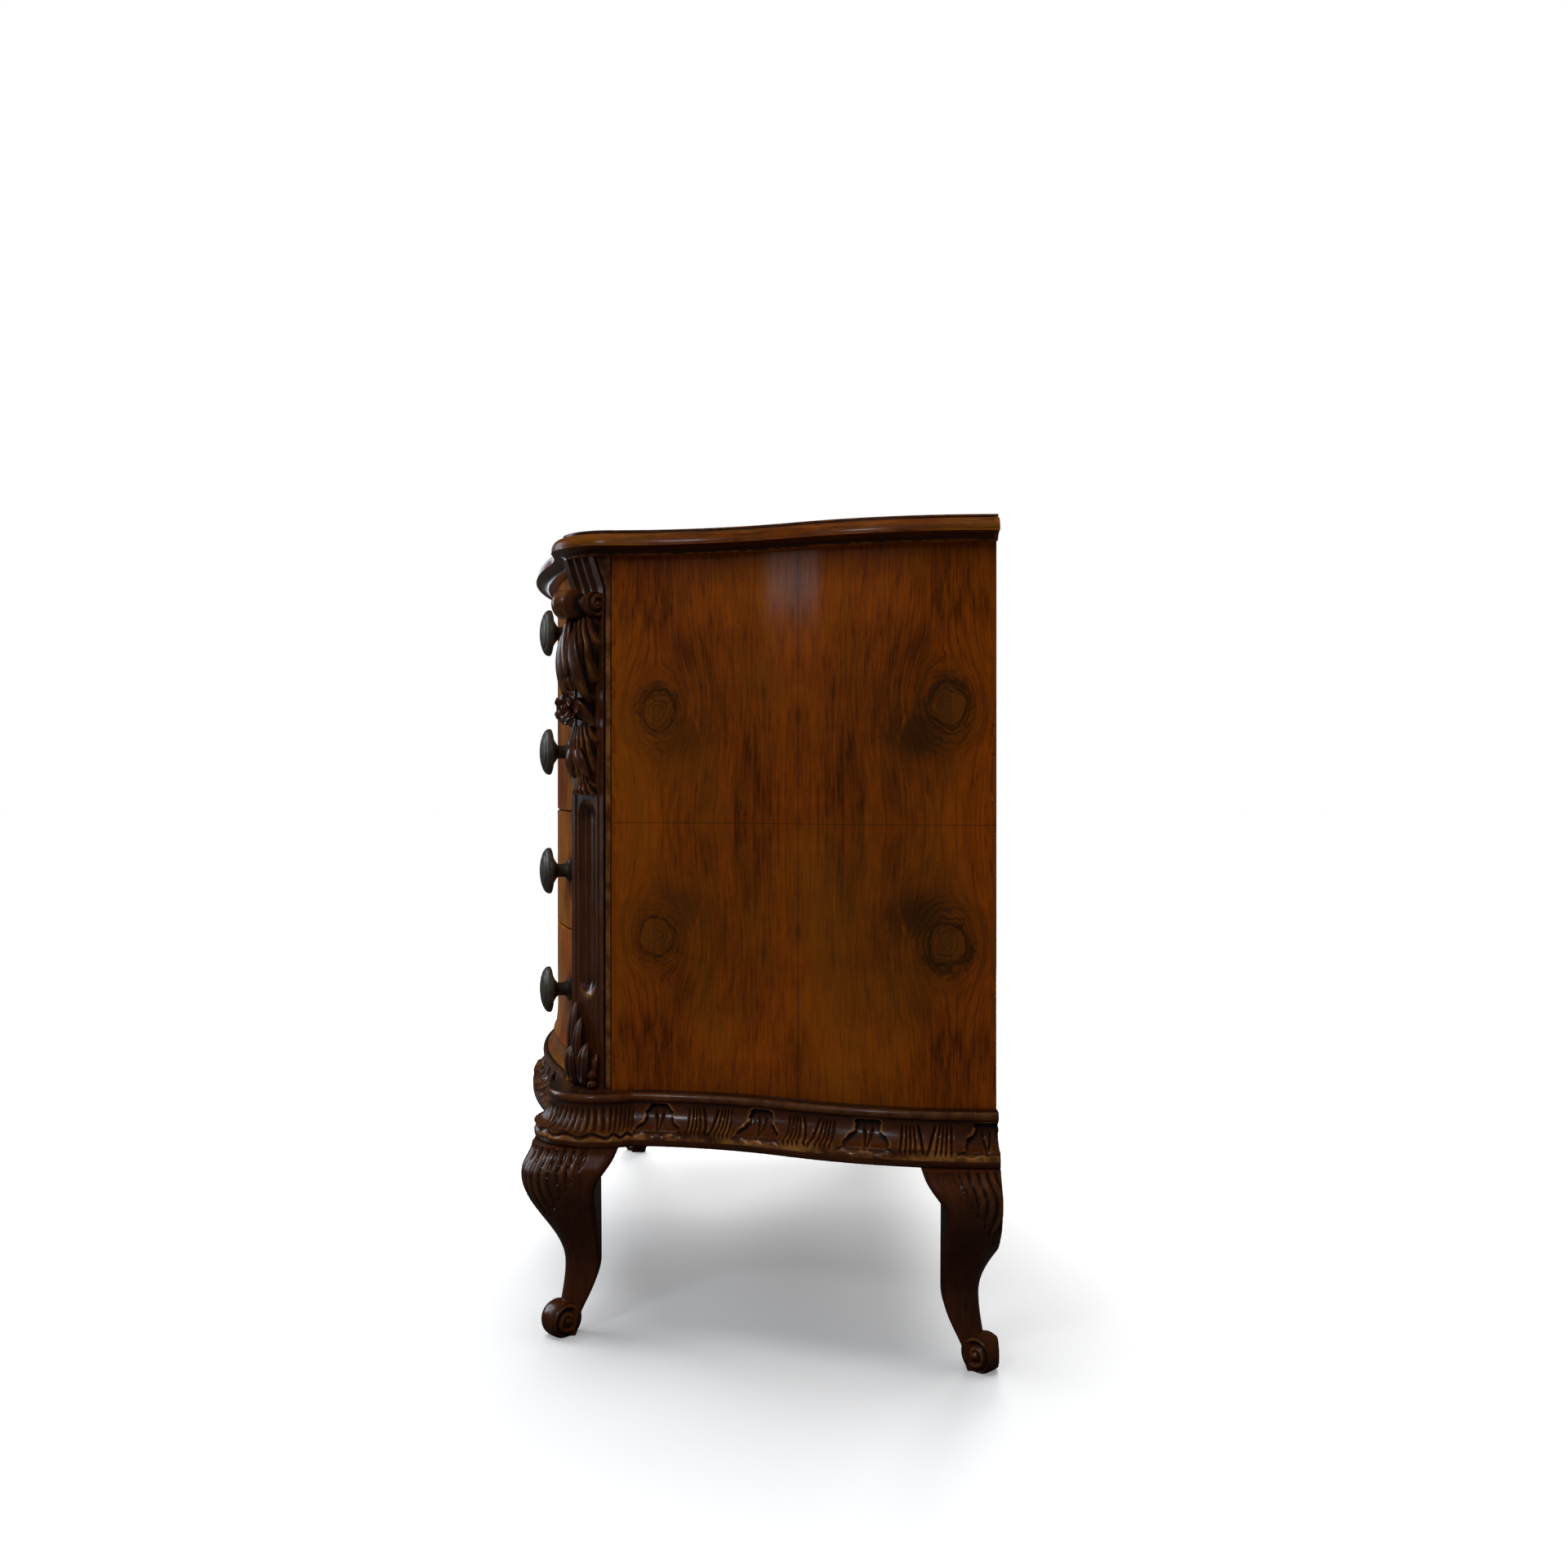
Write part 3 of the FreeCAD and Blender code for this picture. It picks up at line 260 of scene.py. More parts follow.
def corner_middle(plan):
    """Distance of a front corner's centre from the middle of the case."""
    return SIDE_LOW.x + plan.panel_thickness - plan.corner_radius


def plan_arcs(plan):
    """Tangent arcs of the plan's right half, from the rear to the middle of the front.

    An arc is its centre, radius, facing (1 if the case lies inside it, -1 if outside), start
    angle and turn. Each turn is twice the angle of the chord, so that neighbours stay tangent.
    """
    half_width = SIDE_LOW.x + plan.panel_thickness
    corner_x = corner_middle(plan)
    flare, run = REAR_HALF_WIDTH - half_width, REAR_Y - CORNER_Y
    side_turn = 2 * math.atan2(flare, run)
    side_radius = run / (2 * math.sin(side_turn))
    bulge = CORNER_Y - plan.corner_radius - CREST_Y
    front_turn = 2 * math.atan2(bulge, corner_x)
    crest_radius = corner_x / math.sin(front_turn) - plan.hollow_radius
    hollow_y = CORNER_Y - plan.corner_radius - plan.hollow_radius
    quarter = math.pi / 2
    return {
        "side": [
            ((REAR_HALF_WIDTH - side_radius, REAR_Y), side_radius, 1, 0, -side_turn),
            ((half_width + side_radius, CORNER_Y), side_radius, -1, math.pi - side_turn, side_turn),
        ],
        "corner_side": [((corner_x, CORNER_Y), plan.corner_radius, 1, 0, -quarter / 2)],
        "corner_front": [((corner_x, CORNER_Y), plan.corner_radius, 1, -quarter / 2, -quarter / 2)],
        "front": [
            ((corner_x, hollow_y), plan.hollow_radius, -1, quarter, front_turn),
            ((0, CREST_Y + crest_radius), crest_radius, 1, 3 * quarter + front_turn, -front_turn),
        ],
    }


def follow(arcs, step):
    """Points, outward normals and running length along arcs, about one step apart.

    A point is the centre plus the radius in the direction of its angle, and its normal is that
    direction, turned round on arcs that face the other way.
    """
    points, normals = [], []
    for index, (centre, radius, facing, start, turn) in enumerate(arcs):
        count = max(3, math.ceil(abs(turn) * radius / step) + 1)
        angle = start + turn * np.linspace(0, 1, count)[min(index, 1):]
        way = np.stack([np.cos(angle), np.sin(angle)], -1)
        points.append(np.array(centre) + radius * way)
        normals.append(facing * way)
    points, normals = np.concatenate(points), np.concatenate(normals)
    steps = np.linalg.norm(np.diff(points, axis=0), axis=-1)
    return points, normals, np.concatenate([[0], np.cumsum(steps)])


def both_halves(path):
    """A right half and its mirror image, joined at the middle of the front, lengths from there."""
    points, normals, run = path
    flip = np.array([-1, 1])
    points = np.concatenate([points, (points * flip)[-2::-1]])
    normals = np.concatenate([normals, (normals * flip)[-2::-1]])
    from_middle = run - run[-1]
    return points, normals, np.concatenate([from_middle, -from_middle[-2::-1]])


def between(path, half_width):
    """The part of a path whose points lie within a half width of the middle, with exact ends."""
    points, normals, run = path
    order = np.argsort(points[:, 0])
    x = points[order, 0]
    inner = x[np.abs(x) < half_width]
    x_new = np.concatenate([[-half_width], inner, [half_width]])[::-1]

    def at(values):
        return np.interp(x_new, x, values[order])

    points = np.stack([x_new, at(points[:, 1])], -1)
    normals = np.stack([at(normals[:, 0]), at(normals[:, 1])], -1)
    return points, normals / np.linalg.norm(normals, axis=-1, keepdims=True), at(run)


def rounded(start, end, rise_first, steps=8):
    """Quarter ellipse of a profile from start to end, without its first point.

    Its share outward is one minus the cosine, and its share upward the sine, of a quarter turn,
    or the other way round where it does not leave the start straight up.
    """
    angle = np.linspace(0, np.pi / 2, steps + 1)[1:]
    late, early = 1 - np.cos(angle), np.sin(angle)
    shares = np.stack([late, early] if rise_first else [early, late], -1)
    return np.array(start) + (np.array(end) - np.array(start)) * shares


def swell(values, low, high):
    """Smooth step of an array: 0 below low, 1 above high, and three squares less two cubes between."""
    share = np.clip((values - low) / (high - low), 0, 1)
    return share * share * (3 - 2 * share)


def eased(places, knots, values):
    """Values between knots, joined by half cosine waves, so that each knot is level."""
    places = np.asarray(places, float)
    index = np.clip(np.searchsorted(knots, places, side="right") - 1, 0, len(knots) - 2)
    knots, values = np.asarray(knots, float), np.asarray(values, float)
    share = np.clip((places - knots[index]) / (knots[index + 1] - knots[index]), 0, 1)
    return values[index] + (values[index + 1] - values[index]) * (1 - np.cos(np.pi * share)) / 2


def softened(field, passes):
    """A grid averaged with its four neighbours again and again."""
    for _ in range(passes):
        wide = np.pad(field, 1, mode="edge")
        field = (wide[:-2, 1:-1] + wide[2:, 1:-1] + wide[1:-1, :-2] + wide[1:-1, 2:] + 4 * field) / 8
    return field


def recess_of(relief, depth, passes=24):
    """How deep each point of a relief lies below its surroundings, as a share of depth."""
    return (softened(relief, passes) - relief) / depth


# Meshes

def patch(points, recess=0.0, veneer=None):
    """One grid of points with its recess and veneer place, ready to be joined into a piece."""
    shape = points.shape[:2]
    place = points if veneer is None else np.broadcast_to(veneer, shape + (3,))
    return points, np.broadcast_to(recess, shape), place


def swept(path, out, z):
    """Grid of a profile along a path: each point moved out along its normal, at the profile's height."""
    points, normals, _ = path
    out, z = np.broadcast_arrays(out, z)
    out = np.broadcast_to(out, (len(points), out.shape[-1]))
    z = np.broadcast_to(z, out.shape)
    level = points[:, None, :] + normals[:, None, :] * out[..., None]
    return np.concatenate([level, z[..., None]], -1)


def lid(ring):
    """Flat end that closes a ring of points towards its centre."""
    return patch(np.stack([ring, np.broadcast_to(ring.mean(0), ring.shape)]))


def closed(grid):
    """A grid whose first column is also its last."""
    return np.concatenate([grid, grid[:, :1]], axis=1)


def mirrored(patches):
    """The same grids on the left."""
    flip = np.array([-1, 1, 1])
    return [(points * flip, recess, place) for points, recess, place in patches]


def make_piece(name, patches, material, body, replaced, crease=40):
    """Join grids into one mesh object, weld their seams and turn their faces outward.

    Grids become quads by index arithmetic on whole arrays. Seams and poles are welded.
    """
    corners, start = [], 0
    for points, _, _ in patches:
        rows, columns = points.shape[:2]
        index = start + np.arange(rows * columns).reshape(rows, columns)
        quads = (index[:-1, :-1], index[:-1, 1:], index[1:, 1:], index[1:, :-1])
        corners.append(np.stack(quads, -1).reshape(-1, 4))
        start += rows * columns
    corners = np.concatenate(corners)
    places = np.concatenate([points.reshape(-1, 3) for points, _, _ in patches])
    name = name.replace(" ", "_")
    mesh = bpy.data.meshes.new(name)
    mesh.vertices.add(len(places))
    mesh.vertices.foreach_set("co", places.astype(np.float32).ravel())
    mesh.loops.add(corners.size)
    mesh.loops.foreach_set("vertex_index", corners.astype(np.int32).ravel())
    mesh.polygons.add(len(corners))
    mesh.polygons.foreach_set("loop_start", np.arange(0, corners.size, 4, dtype=np.int32))
    mesh.update(calc_edges=True)
    # In the wood finishes the recess darkens hollows as grime and painted shade and lightens proud parts as
    # wear and painted highlight.
    recess = np.concatenate([values.ravel() for _, values, _ in patches])
    layer = mesh.attributes.new("recess", "FLOAT", "POINT")
    layer.data.foreach_set("value", recess.astype(np.float32))
    veneer = np.concatenate([values.reshape(-1, 3) for _, _, values in patches])
    layer = mesh.attributes.new("veneer", "FLOAT_VECTOR", "POINT")
    layer.data.foreach_set("vector", veneer.astype(np.float32).ravel())
    work = bmesh.new()
    work.from_mesh(mesh)
    bmesh.ops.remove_doubles(work, verts=work.verts, dist=WELD)
    bmesh.ops.dissolve_degenerate(work, edges=work.edges, dist=WELD / 4)
    bmesh.ops.recalc_face_normals(work, faces=work.faces)
    work.to_mesh(mesh)
    work.free()
    mesh.shade_smooth()
    mesh.set_sharp_from_angle(angle=math.radians(crease))
    mesh.materials.append(material)
    piece = bpy.data.objects.new(name, mesh)
    bpy.context.collection.objects.link(piece)
    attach(piece, body)
    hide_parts(*replaced)


def make_pair(label, patches, material, node, crease=40):
    """A right-hand piece of the case and its mirror image on the left."""
    for hand, sign in HANDS.items():
        placed = patches if sign > 0 else mirrored(patches)
        make_piece(label + " " + hand, placed, material, CASE_BODY, [node + "_" + hand], crease)


# Finishes

class Field:
    """A number, place or colour that varies over a surface. Formulas of numbers add Math nodes."""

    def __init__(self, socket):
        self.socket, self.tree = socket, socket.id_data

    def __add__(self, other):
        return worked("ADD", self, other)

    def __sub__(self, other):
        return worked("SUBTRACT", self, other)

    def __rsub__(self, other):
        return worked("SUBTRACT", other, self)

    def __mul__(self, other):
        return worked("MULTIPLY", self, other)

    def __rtruediv__(self, other):
        return worked("DIVIDE", other, self)

    def __abs__(self):
        return worked("ABSOLUTE", self)

    __radd__, __rmul__ = __add__, __mul__


def put(tree, kind, settings=None, inputs=None):
    """Add a shader node. Inputs that are fields are linked, and other inputs are set."""
    node = tree.nodes.new(kind)
    for key, value in (settings or {}).items():
        setattr(node, key, value)
    for key, value in (inputs or {}).items():
        if isinstance(value, Field):
            tree.links.new(value.socket, node.inputs[key])
        else:
            node.inputs[key].default_value = value
    return node


def worked(operation, *terms, clamp=False):
    """Result of one Math node."""
    tree = next(term.tree for term in terms if isinstance(term, Field))
    settings = {"operation": operation, "use_clamp": clamp}
    return Field(put(tree, "ShaderNodeMath", settings, dict(enumerate(terms))).outputs[0])


def lowest(first, second):
    """The smaller of two numbers."""
    return worked("MINIMUM", first, second)


def highest(first, second):
    """The larger of two numbers."""
    return worked("MAXIMUM", first, second)


def noise(place, scale, detail=4.0, roughness=0.55, distortion=0.0):
    """Number of a noise texture at a place."""
    inputs = {"Vector": place, "Scale": scale, "Detail": detail}
    inputs.update({"Roughness": roughness, "Distortion": distortion})
    return Field(put(place.tree, "ShaderNodeTexNoise", None, inputs).outputs["Fac"])


def blend(share, first, second):
    """Colour between two others."""
    node = put(share.tree, "ShaderNodeMix", {"data_type": "RGBA"}, {0: share, 6: first, 7: second})
    return Field(node.outputs[2])


def ramp(value, low, high):
    """Number stretched from low..high to 0..1, with soft ends."""
    settings = {"interpolation_type": "SMOOTHSTEP"}
    inputs = {"Value": value, "From Min": low, "From Max": high}
    return Field(put(value.tree, "ShaderNodeMapRange", settings, inputs).outputs[0])


def fade(value, low, high):
    """Number that falls from 1 at low to 0 at high, with soft ends."""
    return 1.0 - ramp(value, low, high)


def stretched(place, factors):
    """A place multiplied along each axis."""
    inputs = {0: place, 1: factors}
    return Field(put(place.tree, "ShaderNodeVectorMath", {"operation": "MULTIPLY"}, inputs).outputs[0])


def joined(x, y, z):
    """A place from its three parts."""
    return Field(put(x.tree, "ShaderNodeCombineXYZ", None, {0: x, 1: y, 2: z}).outputs[0])


def distance(across, along):
    """Length of the way to a point, from its two parts."""
    inputs = {0: joined(across, 0.0, along)}
    return Field(put(across.tree, "ShaderNodeVectorMath", {"operation": "LENGTH"}, inputs).outputs["Value"])


def new_group(name, inputs, outputs):
    """Empty shader group with named sockets, and the fields that it is given."""
    tree = bpy.data.node_groups.new(name, "ShaderNodeTree")
    for way, sockets in (("INPUT", inputs), ("OUTPUT", outputs)):
        for label, kind in sockets.items():
            tree.interface.new_socket(label, in_out=way, socket_type="NodeSocket" + kind)
    given = tree.nodes.new("NodeGroupInput").outputs
    return tree, {label: Field(given[label]) for label in inputs}


def grain_group():
    """Wood grain that runs along the third axis of its place: fine streaks, dashes, clouds and pores."""
    kinds = {"Place": "Vector", "Light": "Color", "Dark": "Color"}
    tree, given = new_group("Wood grain", kinds, {"Color": "Color", "Pores": "Float"})
    place = given["Place"]
    streaks = noise(stretched(place, (1, 1, 0.05)), 330, 5, 0.7)
    dashes = noise(stretched(place, (1, 1, 0.11)), 120, 5, 0.65, 0.3)
    clouds = noise(stretched(place, (1, 1, 0.6)), 8, 7, 0.66, 0.4)
    pores = noise(stretched(place, (1, 1, 0.04)), 700, 2, 0.5)
    light = 0.36 * ramp(streaks, 0.36, 0.64) + 0.46 * ramp(clouds, 0.34, 0.66)
    light = worked("ADD", light, 0.28 * ramp(dashes, 0.36, 0.58), clamp=True)
    light = worked("SUBTRACT", light, 0.45 * ramp(pores, 0.55, 0.72), clamp=True)
    tone = blend(light, given["Dark"], given["Light"])
    put(tree, "NodeGroupOutput", None, {"Color": tone, "Pores": pores})
    return tree


def matched_group():
    """Quarter-matched veneer: its place folded at both seams and led round four knots, and their masks.

    The grain passes a knot as a stream passes a pillar: its distance to the side shrinks by the square
    of the knot's size over the square of the distance.
    """
    kinds = {"Place": "Vector", "Knot across": "Float", "Knot along": "Float"}
    found = {"Place": "Vector", "Ring": "Float", "Heart": "Float", "Smoke": "Float", "Seam": "Float"}
    tree, given = new_group("Matched veneer", kinds, found)
    place = given["Place"]
    parts = put(tree, "ShaderNodeSeparateXYZ", None, {0: place}).outputs
    side, depth, height = (Field(part) for part in parts)
    across, along = abs(side), abs(height)
    wander = noise(place, 23, 3)
    drift = noise(stretched(place, (1, -1, -1)), 19, 3)
    patchy = noise(place, 60, 3, 0.6)
    bend = 0.026
    knot_across = across - given["Knot across"] - bend / 2 + bend * wander
    knot_along = along - given["Knot along"] - bend / 2 + bend * drift
    far = distance(knot_across, 0.8 * knot_along)
    outside_heart = ramp(far, 0.012, 0.024)
    parting = lowest(0.0012 / (far * far + 0.00025), 0.95) * outside_heart
    led = joined(across - knot_across * parting, depth, along)
    ring_radius = 0.020
    ring = fade(abs(far - ring_radius), 0.0002, 0.0024) * ramp(patchy, 0.36, 0.56)
    growth = ramp(worked("SINE", 16.0 * patchy + 1150.0 * far), 0.15, 0.95) * fade(far, 0.016, 0.048)
    ring = highest(ring, 0.75 * growth * ramp(wander, 0.3, 0.6))
    cloud_far = distance(0.7 * (knot_across + 0.038), knot_along + 0.036)
    billow = noise(stretched(led, (1, 1, 0.5)), 26, 6, 0.68, 0.8)
    smoke = highest(fade(cloud_far, 0.0, 0.085), 0.85 * fade(far, 0.019, 0.044)) * ramp(billow, 0.36, 0.56)
    swirl = worked("SINE", 40.0 * wander + 900.0 * far)
    fringe = 0.30 * fade(far, 0.022, 0.070) * ramp(swirl, -0.2, 1.0)
    smoke = worked("ADD", smoke, fringe, clamp=True) * (0.3 + 0.7 * ramp(far, 0.0135, 0.0215))
    shade = 0.62 * fade(cloud_far, 0.02, 0.16) * ramp(billow, 0.2, 0.6)
    clearer_at_rear = 1.0 - 0.3 * ramp(side, -0.05, 0.05)
    masks = {
        "Ring": ring,
        "Heart": 1.0 - outside_heart,
        "Smoke": highest(smoke, shade) * clearer_at_rear,
        "Seam": fade(lowest(across, along), 0.0003, 0.0009),
    }
    put(tree, "NodeGroupOutput", None, {"Place": led, **masks})
    return tree


def varnish_group():
    """Old varnish: uneven gloss, and faint ripples for the normal."""
    kinds = {"Place": "Vector", "Gloss": "Float", "Dull": "Float"}
    tree, given = new_group("Old varnish", kinds, {"Roughness": "Float", "Height": "Float"})
    smears = ramp(noise(given["Place"], 16, 5, 0.6, 0.4), 0.35, 0.75)
    rough = smears * (given["Dull"] - given["Gloss"]) + given["Gloss"]
    ripples = noise(given["Place"], 55, 3, 0.5)
    put(tree, "NodeGroupOutput", None, {"Roughness": rough, "Height": ripples})
    return tree


def carving_group():
    """Carved wood: grime and painted shade where the surface lies deep, and light wood for wear and painted
    highlights where it stands proud.
    """
    kinds = {"Recess": "Float", "Place": "Vector", "Wood": "Color", "Worn": "Color", "Dirt": "Color"}
    tree, given = new_group("Carving wear", kinds, {"Color": "Color"})
    # Proud parts take the light colour as wear and painted highlight; deep parts take the dark colour as
    # grime and painted shade.
    proud = ramp(-1.0 * given["Recess"], 0.05, 0.55)
    rub = ramp(noise(given["Place"], 38, 4, 0.6), 0.35, 0.65)
    wear_and_painted_light = blend(proud * rub, given["Wood"], given["Worn"])
    grime_and_shade_tone = blend(ramp(given["Recess"], 0.02, 0.5), wear_and_painted_light, given["Dirt"])
    put(tree, "NodeGroupOutput", None, {"Color": grime_and_shade_tone})
    return tree


SHADER_GROUPS = {
    "Wood grain": grain_group,
    "Matched veneer": matched_group,
    "Old varnish": varnish_group,
    "Carving wear": carving_group,
}


def use_group(tree, name, inputs):
    """Place a shared group, made the first time it is asked for, in a material."""
    group = bpy.data.node_groups.get(name) or SHADER_GROUPS[name]()
    outputs = put(tree, "ShaderNodeGroup", {"node_tree": group}, inputs).outputs
    return {socket.name: Field(socket) for socket in outputs}


def solid(tone):
    """A property's colour with full alpha."""
    return (*tone, 1.0)


def attribute(tree, name, output):
    """One output of a mesh attribute."""
    return Field(put(tree, "ShaderNodeAttribute", {"attribute_name": name}).outputs[output])


def object_place(tree):
    """Place on a surface in the frame of its own piece."""
    return Field(put(tree, "ShaderNodeTexCoord").outputs["Object"])


def new_material(name, settings):
    """Material with a Principled shader whose constant values are set on its own sockets."""
    material = bpy.data.materials.new(name)
    material.use_nodes = True
    shader = material.node_tree.nodes["Principled BSDF"]
    for key, value in settings.items():
        shader.inputs[key].default_value = value
    return material, material.node_tree, shader


def polish(specular, coat):
    """Shader values of a waxed wood."""
    return {"Specular IOR Level": specular, "Coat Weight": coat, "Coat Roughness": 0.12}


def wire(shader, fields):
    """Link fields to the sockets of a shader."""
    for key, field in fields.items():
        field.tree.links.new(field.socket, shader.inputs[key])


def finish_surface(shader, place, tone, gloss, dull, ripple, pores=None):
    """Link colour, old varnish and its ripples, with extra height for pores, to a shader."""
    varnish = use_group(place.tree, "Old varnish", {"Place": place, "Gloss": gloss, "Dull": dull})
    height = varnish["Height"] if pores is None else 0.35 * pores + varnish["Height"]
    bump = put(place.tree, "ShaderNodeBump", None, {"Strength": 1.0, "Distance": ripple, "Height": height})
    wire(shader, {"Base Color": tone, "Roughness": varnish["Roughness"], "Normal": Field(bump.outputs[0])})


def golden_clouds(place, low, high):
    """Mask of the veneer's golden clouds, drawn out along the grain."""
    return ramp(noise(stretched(place, (1, 1, 0.5)), 7, 5, 0.6), low, high)


def panel_veneer(finish):
    """Polished side veneer: quarter-matched walnut with smoky knots and golden clouds."""
    material, tree, shader = new_material("side veneer", polish(specular=0.05, coat=0.3))
    place = attribute(tree, "veneer", "Vector")
    knots = {"Knot across": finish.knot_across, "Knot along": finish.knot_along}
    matched = use_group(tree, "Matched veneer", {"Place": place, **knots})
    tones = {"Light": solid(finish.veneer_light), "Dark": solid(finish.veneer_dark)}
    wood = use_group(tree, "Wood grain", {"Place": matched["Place"], **tones})
    tone = blend(0.45 * golden_clouds(place, 0.42, 0.68), wood["Color"], solid(finish.veneer_gold))
    tone = blend(0.4 * matched["Heart"], tone, solid(finish.heart))
    for mask, share in (("Smoke", 0.85), ("Ring", 0.75), ("Seam", 0.6)):
        tone = blend(share * matched[mask], tone, solid(finish.smoke))
    finish_surface(shader, place, tone, gloss=0.34, dull=0.5, ripple=0.00008, pores=wood["Pores"])
    return material


def shaded_worn_wood(finish, place, light, dark):
    """Colour and pores of a wood with grime and painted shade in its hollows, and wear and painted
    highlights on its edges.
    """
    wood = use_group(place.tree, "Wood grain", {"Place": place, "Light": light, "Dark": dark})
    wear = {"Recess": attribute(place.tree, "recess", "Fac"), "Place": place, "Wood": wood["Color"]}
    wear.update({"Worn": solid(finish.carved_light), "Dirt": solid(finish.carved_dark)})
    return use_group(place.tree, "Carving wear", wear)["Color"], wood["Pores"]


def plain_veneer(finish):
    """Polished walnut veneer of the drawers, the cove and the top, with golden clouds."""
    material, tree, shader = new_material("front veneer", polish(specular=0.12, coat=0.15))
    place = attribute(tree, "veneer", "Vector")
    clouds = golden_clouds(place, 0.36, 0.62)
    light = blend(clouds, solid(finish.veneer_light), solid(finish.front_gold))
    tone, pores = shaded_worn_wood(finish, place, light, solid(finish.veneer_dark))
    finish_surface(shader, place, tone, gloss=0.28, dull=0.42, ripple=0.00008, pores=pores)
    return material


def carved_walnut(finish):
    """Stained walnut of the mouldings, carvings and legs."""
    material, tree, shader = new_material("carved walnut", polish(specular=0.3, coat=0.2))
    place = attribute(tree, "veneer", "Vector")
    tone, pores = shaded_worn_wood(finish, place, solid(finish.carved_mid), solid(finish.carved_brown))
    finish_surface(shader, place, tone, gloss=0.24, dull=0.42, ripple=0.00006, pores=pores)
    return material


def inner_wood(finish, name="inner boards", turn=(0, math.pi / 2, 0)):
    """Plain unpolished boards inside the case, with the grain turned to their length."""
    material, tree, shader = new_material(name, {"Specular IOR Level": 0.3})
    place = object_place(tree)
    along = Field(put(tree, "ShaderNodeMapping", None, {"Vector": place, "Rotation": turn}).outputs[0])
    tones = {"Light": solid(finish.inner_light), "Dark": solid(finish.inner_dark)}
    wood = use_group(tree, "Wood grain", {"Place": along, **tones})
    finish_surface(shader, place, wood["Color"], gloss=0.6, dull=0.8, ripple=0.0002, pores=wood["Pores"])
    return material


def inner_sides(finish):
    """Plain boards that run from front to back."""
    return inner_wood(finish, "inner sides", (math.pi / 2, 0, 0))


def dark_bronze(finish):
    """Patinated bronze of the knobs."""
    material, tree, shader = new_material("dark bronze", {"Coat Weight": 0.1})
    place = object_place(tree)
    spots = ramp(noise(place, 90, 5, 0.6), 0.35, 0.65)
    wear = worked("SUBTRACT", spots, attribute(tree, "recess", "Fac"), clamp=True)
    tone = blend(wear, solid(finish.patina), solid(finish.bronze))
    wire(shader, {"Metallic": 0.3 * wear + 0.2})
    finish_surface(shader, place, tone, gloss=0.46, dull=0.62, ripple=0.0002)
    return material


def old_steel(finish):
    """Dull steel of the screws."""
    material, tree, shader = new_material("old steel", {"Metallic": 1.0})
    place = object_place(tree)
    spots = ramp(noise(place, 260, 4, 0.6), 0.4, 0.7)
    tone = blend(spots, solid(finish.patina), solid(finish.steel))
    finish_surface(shader, place, tone, gloss=0.3, dull=0.55, ripple=0.00006)
    return material


FINISHES = {
    "side veneer": panel_veneer,
    "front veneer": plain_veneer,
    "carved walnut": carved_walnut,
    "inner boards": inner_wood,
    "inner sides": inner_sides,
    "dark bronze": dark_bronze,
    "old steel": old_steel,
}


def finish_of(context, name):
    """A finish, made the first time it is asked for."""
    return bpy.data.materials.get(name) or FINISHES[name](context.scene.commode_finish)


# Case

def case_path(plan, step):
    """Whole plan from the right rear round the front to the left rear."""
    arcs = plan_arcs(plan)
    right = arcs["side"] + arcs["corner_side"] + arcs["corner_front"] + arcs["front"]
    return both_halves(follow(right, step))


def front_path(plan, half_width):
    """Serpentine front between two upright ends."""
    return between(both_halves(follow(plan_arcs(plan)["front"], plan.step)), half_width)


def along_path(path, grid):
    """Veneer places of a swept grid: across the profile, and along the path."""
    run = np.broadcast_to(path[2][:, None], grid.shape[:2])
    steps = np.linalg.norm(np.diff(grid, axis=1), axis=-1)
    across = np.concatenate([np.zeros((len(grid), 1)), np.cumsum(steps, axis=1)], axis=1)
    return np.stack([across, np.zeros(run.shape), run], -1)


def end_lids(grid):
    """Flat ends of a closed swept grid, each between its outer half and its inner half."""
    half = grid.shape[1] // 2
    ends = []
    for section in (grid[0], grid[-1]):
        ends.append(patch(np.stack([section[:half], section[half:2 * half][::-1]])))
    return ends


def make_top(context):
    """Top board: a cove, a flat nose, an ovolo and a fillet carried round the plan.

    The flat faces are strips between each point of the right edge and its mirror image.
    """
    plan, top = context.scene.commode_plan, context.scene.commode_top
    nose_z = TOP_Z + top.cove_height
    ovolo_z = nose_z + top.nose_height
    fillet_z = TOP_HIGH.z - top.fillet_height
    profile = np.concatenate(
        [
            [(top.bed_out, TOP_Z)],
            rounded((top.bed_out, TOP_Z), (top.nose_out, nose_z), True),
            [(top.nose_out, (nose_z + ovolo_z) / 2)],
            [(top.nose_out, ovolo_z)],
            rounded((top.nose_out, ovolo_z), (top.fillet_out, fillet_z), True),
            [(top.fillet_out, fillet_z + top.fillet_height / 2), (top.fillet_out, TOP_HIGH.z)],
        ]
    )
    path = case_path(plan, plan.step)
    edge = swept(path, profile[:, 0], profile[:, 1])
    middle = len(path[0]) // 2 + 1
    border = 0.9985
    shares = np.concatenate([[1], np.linspace(border, -border, 41), [-1]])
    across = shares[None, :, None] * np.array([1, 0, 0]) + np.array([0, 1, 1])
    above = edge[:middle, -1, None, :] * across
    below = edge[:middle, 0, None, :] * across
    behind = edge[0, :, None, :] * across
    hollow_depth, stain = 0.006, 0.30
    # The edge's recess is painted shade in the cove and painted highlight on the nose, over an even darker
    # stain.
    edge_recess = recess_of(np.broadcast_to(profile[:, 0], edge.shape[:2]), hollow_depth, passes=6) + stain
    patches = [
        patch(edge, edge_recess, along_path(path, edge)),
        patch(above, 0, above[..., [0, 2, 1]]),
        patch(below, 0, below[..., [0, 2, 1]]),
        patch(behind, 0, behind[..., [2, 1, 0]]),
    ]
    material = finish_of(context, "front veneer")
    make_piece("polished top", patches, material, CASE_BODY, ["top_board"])


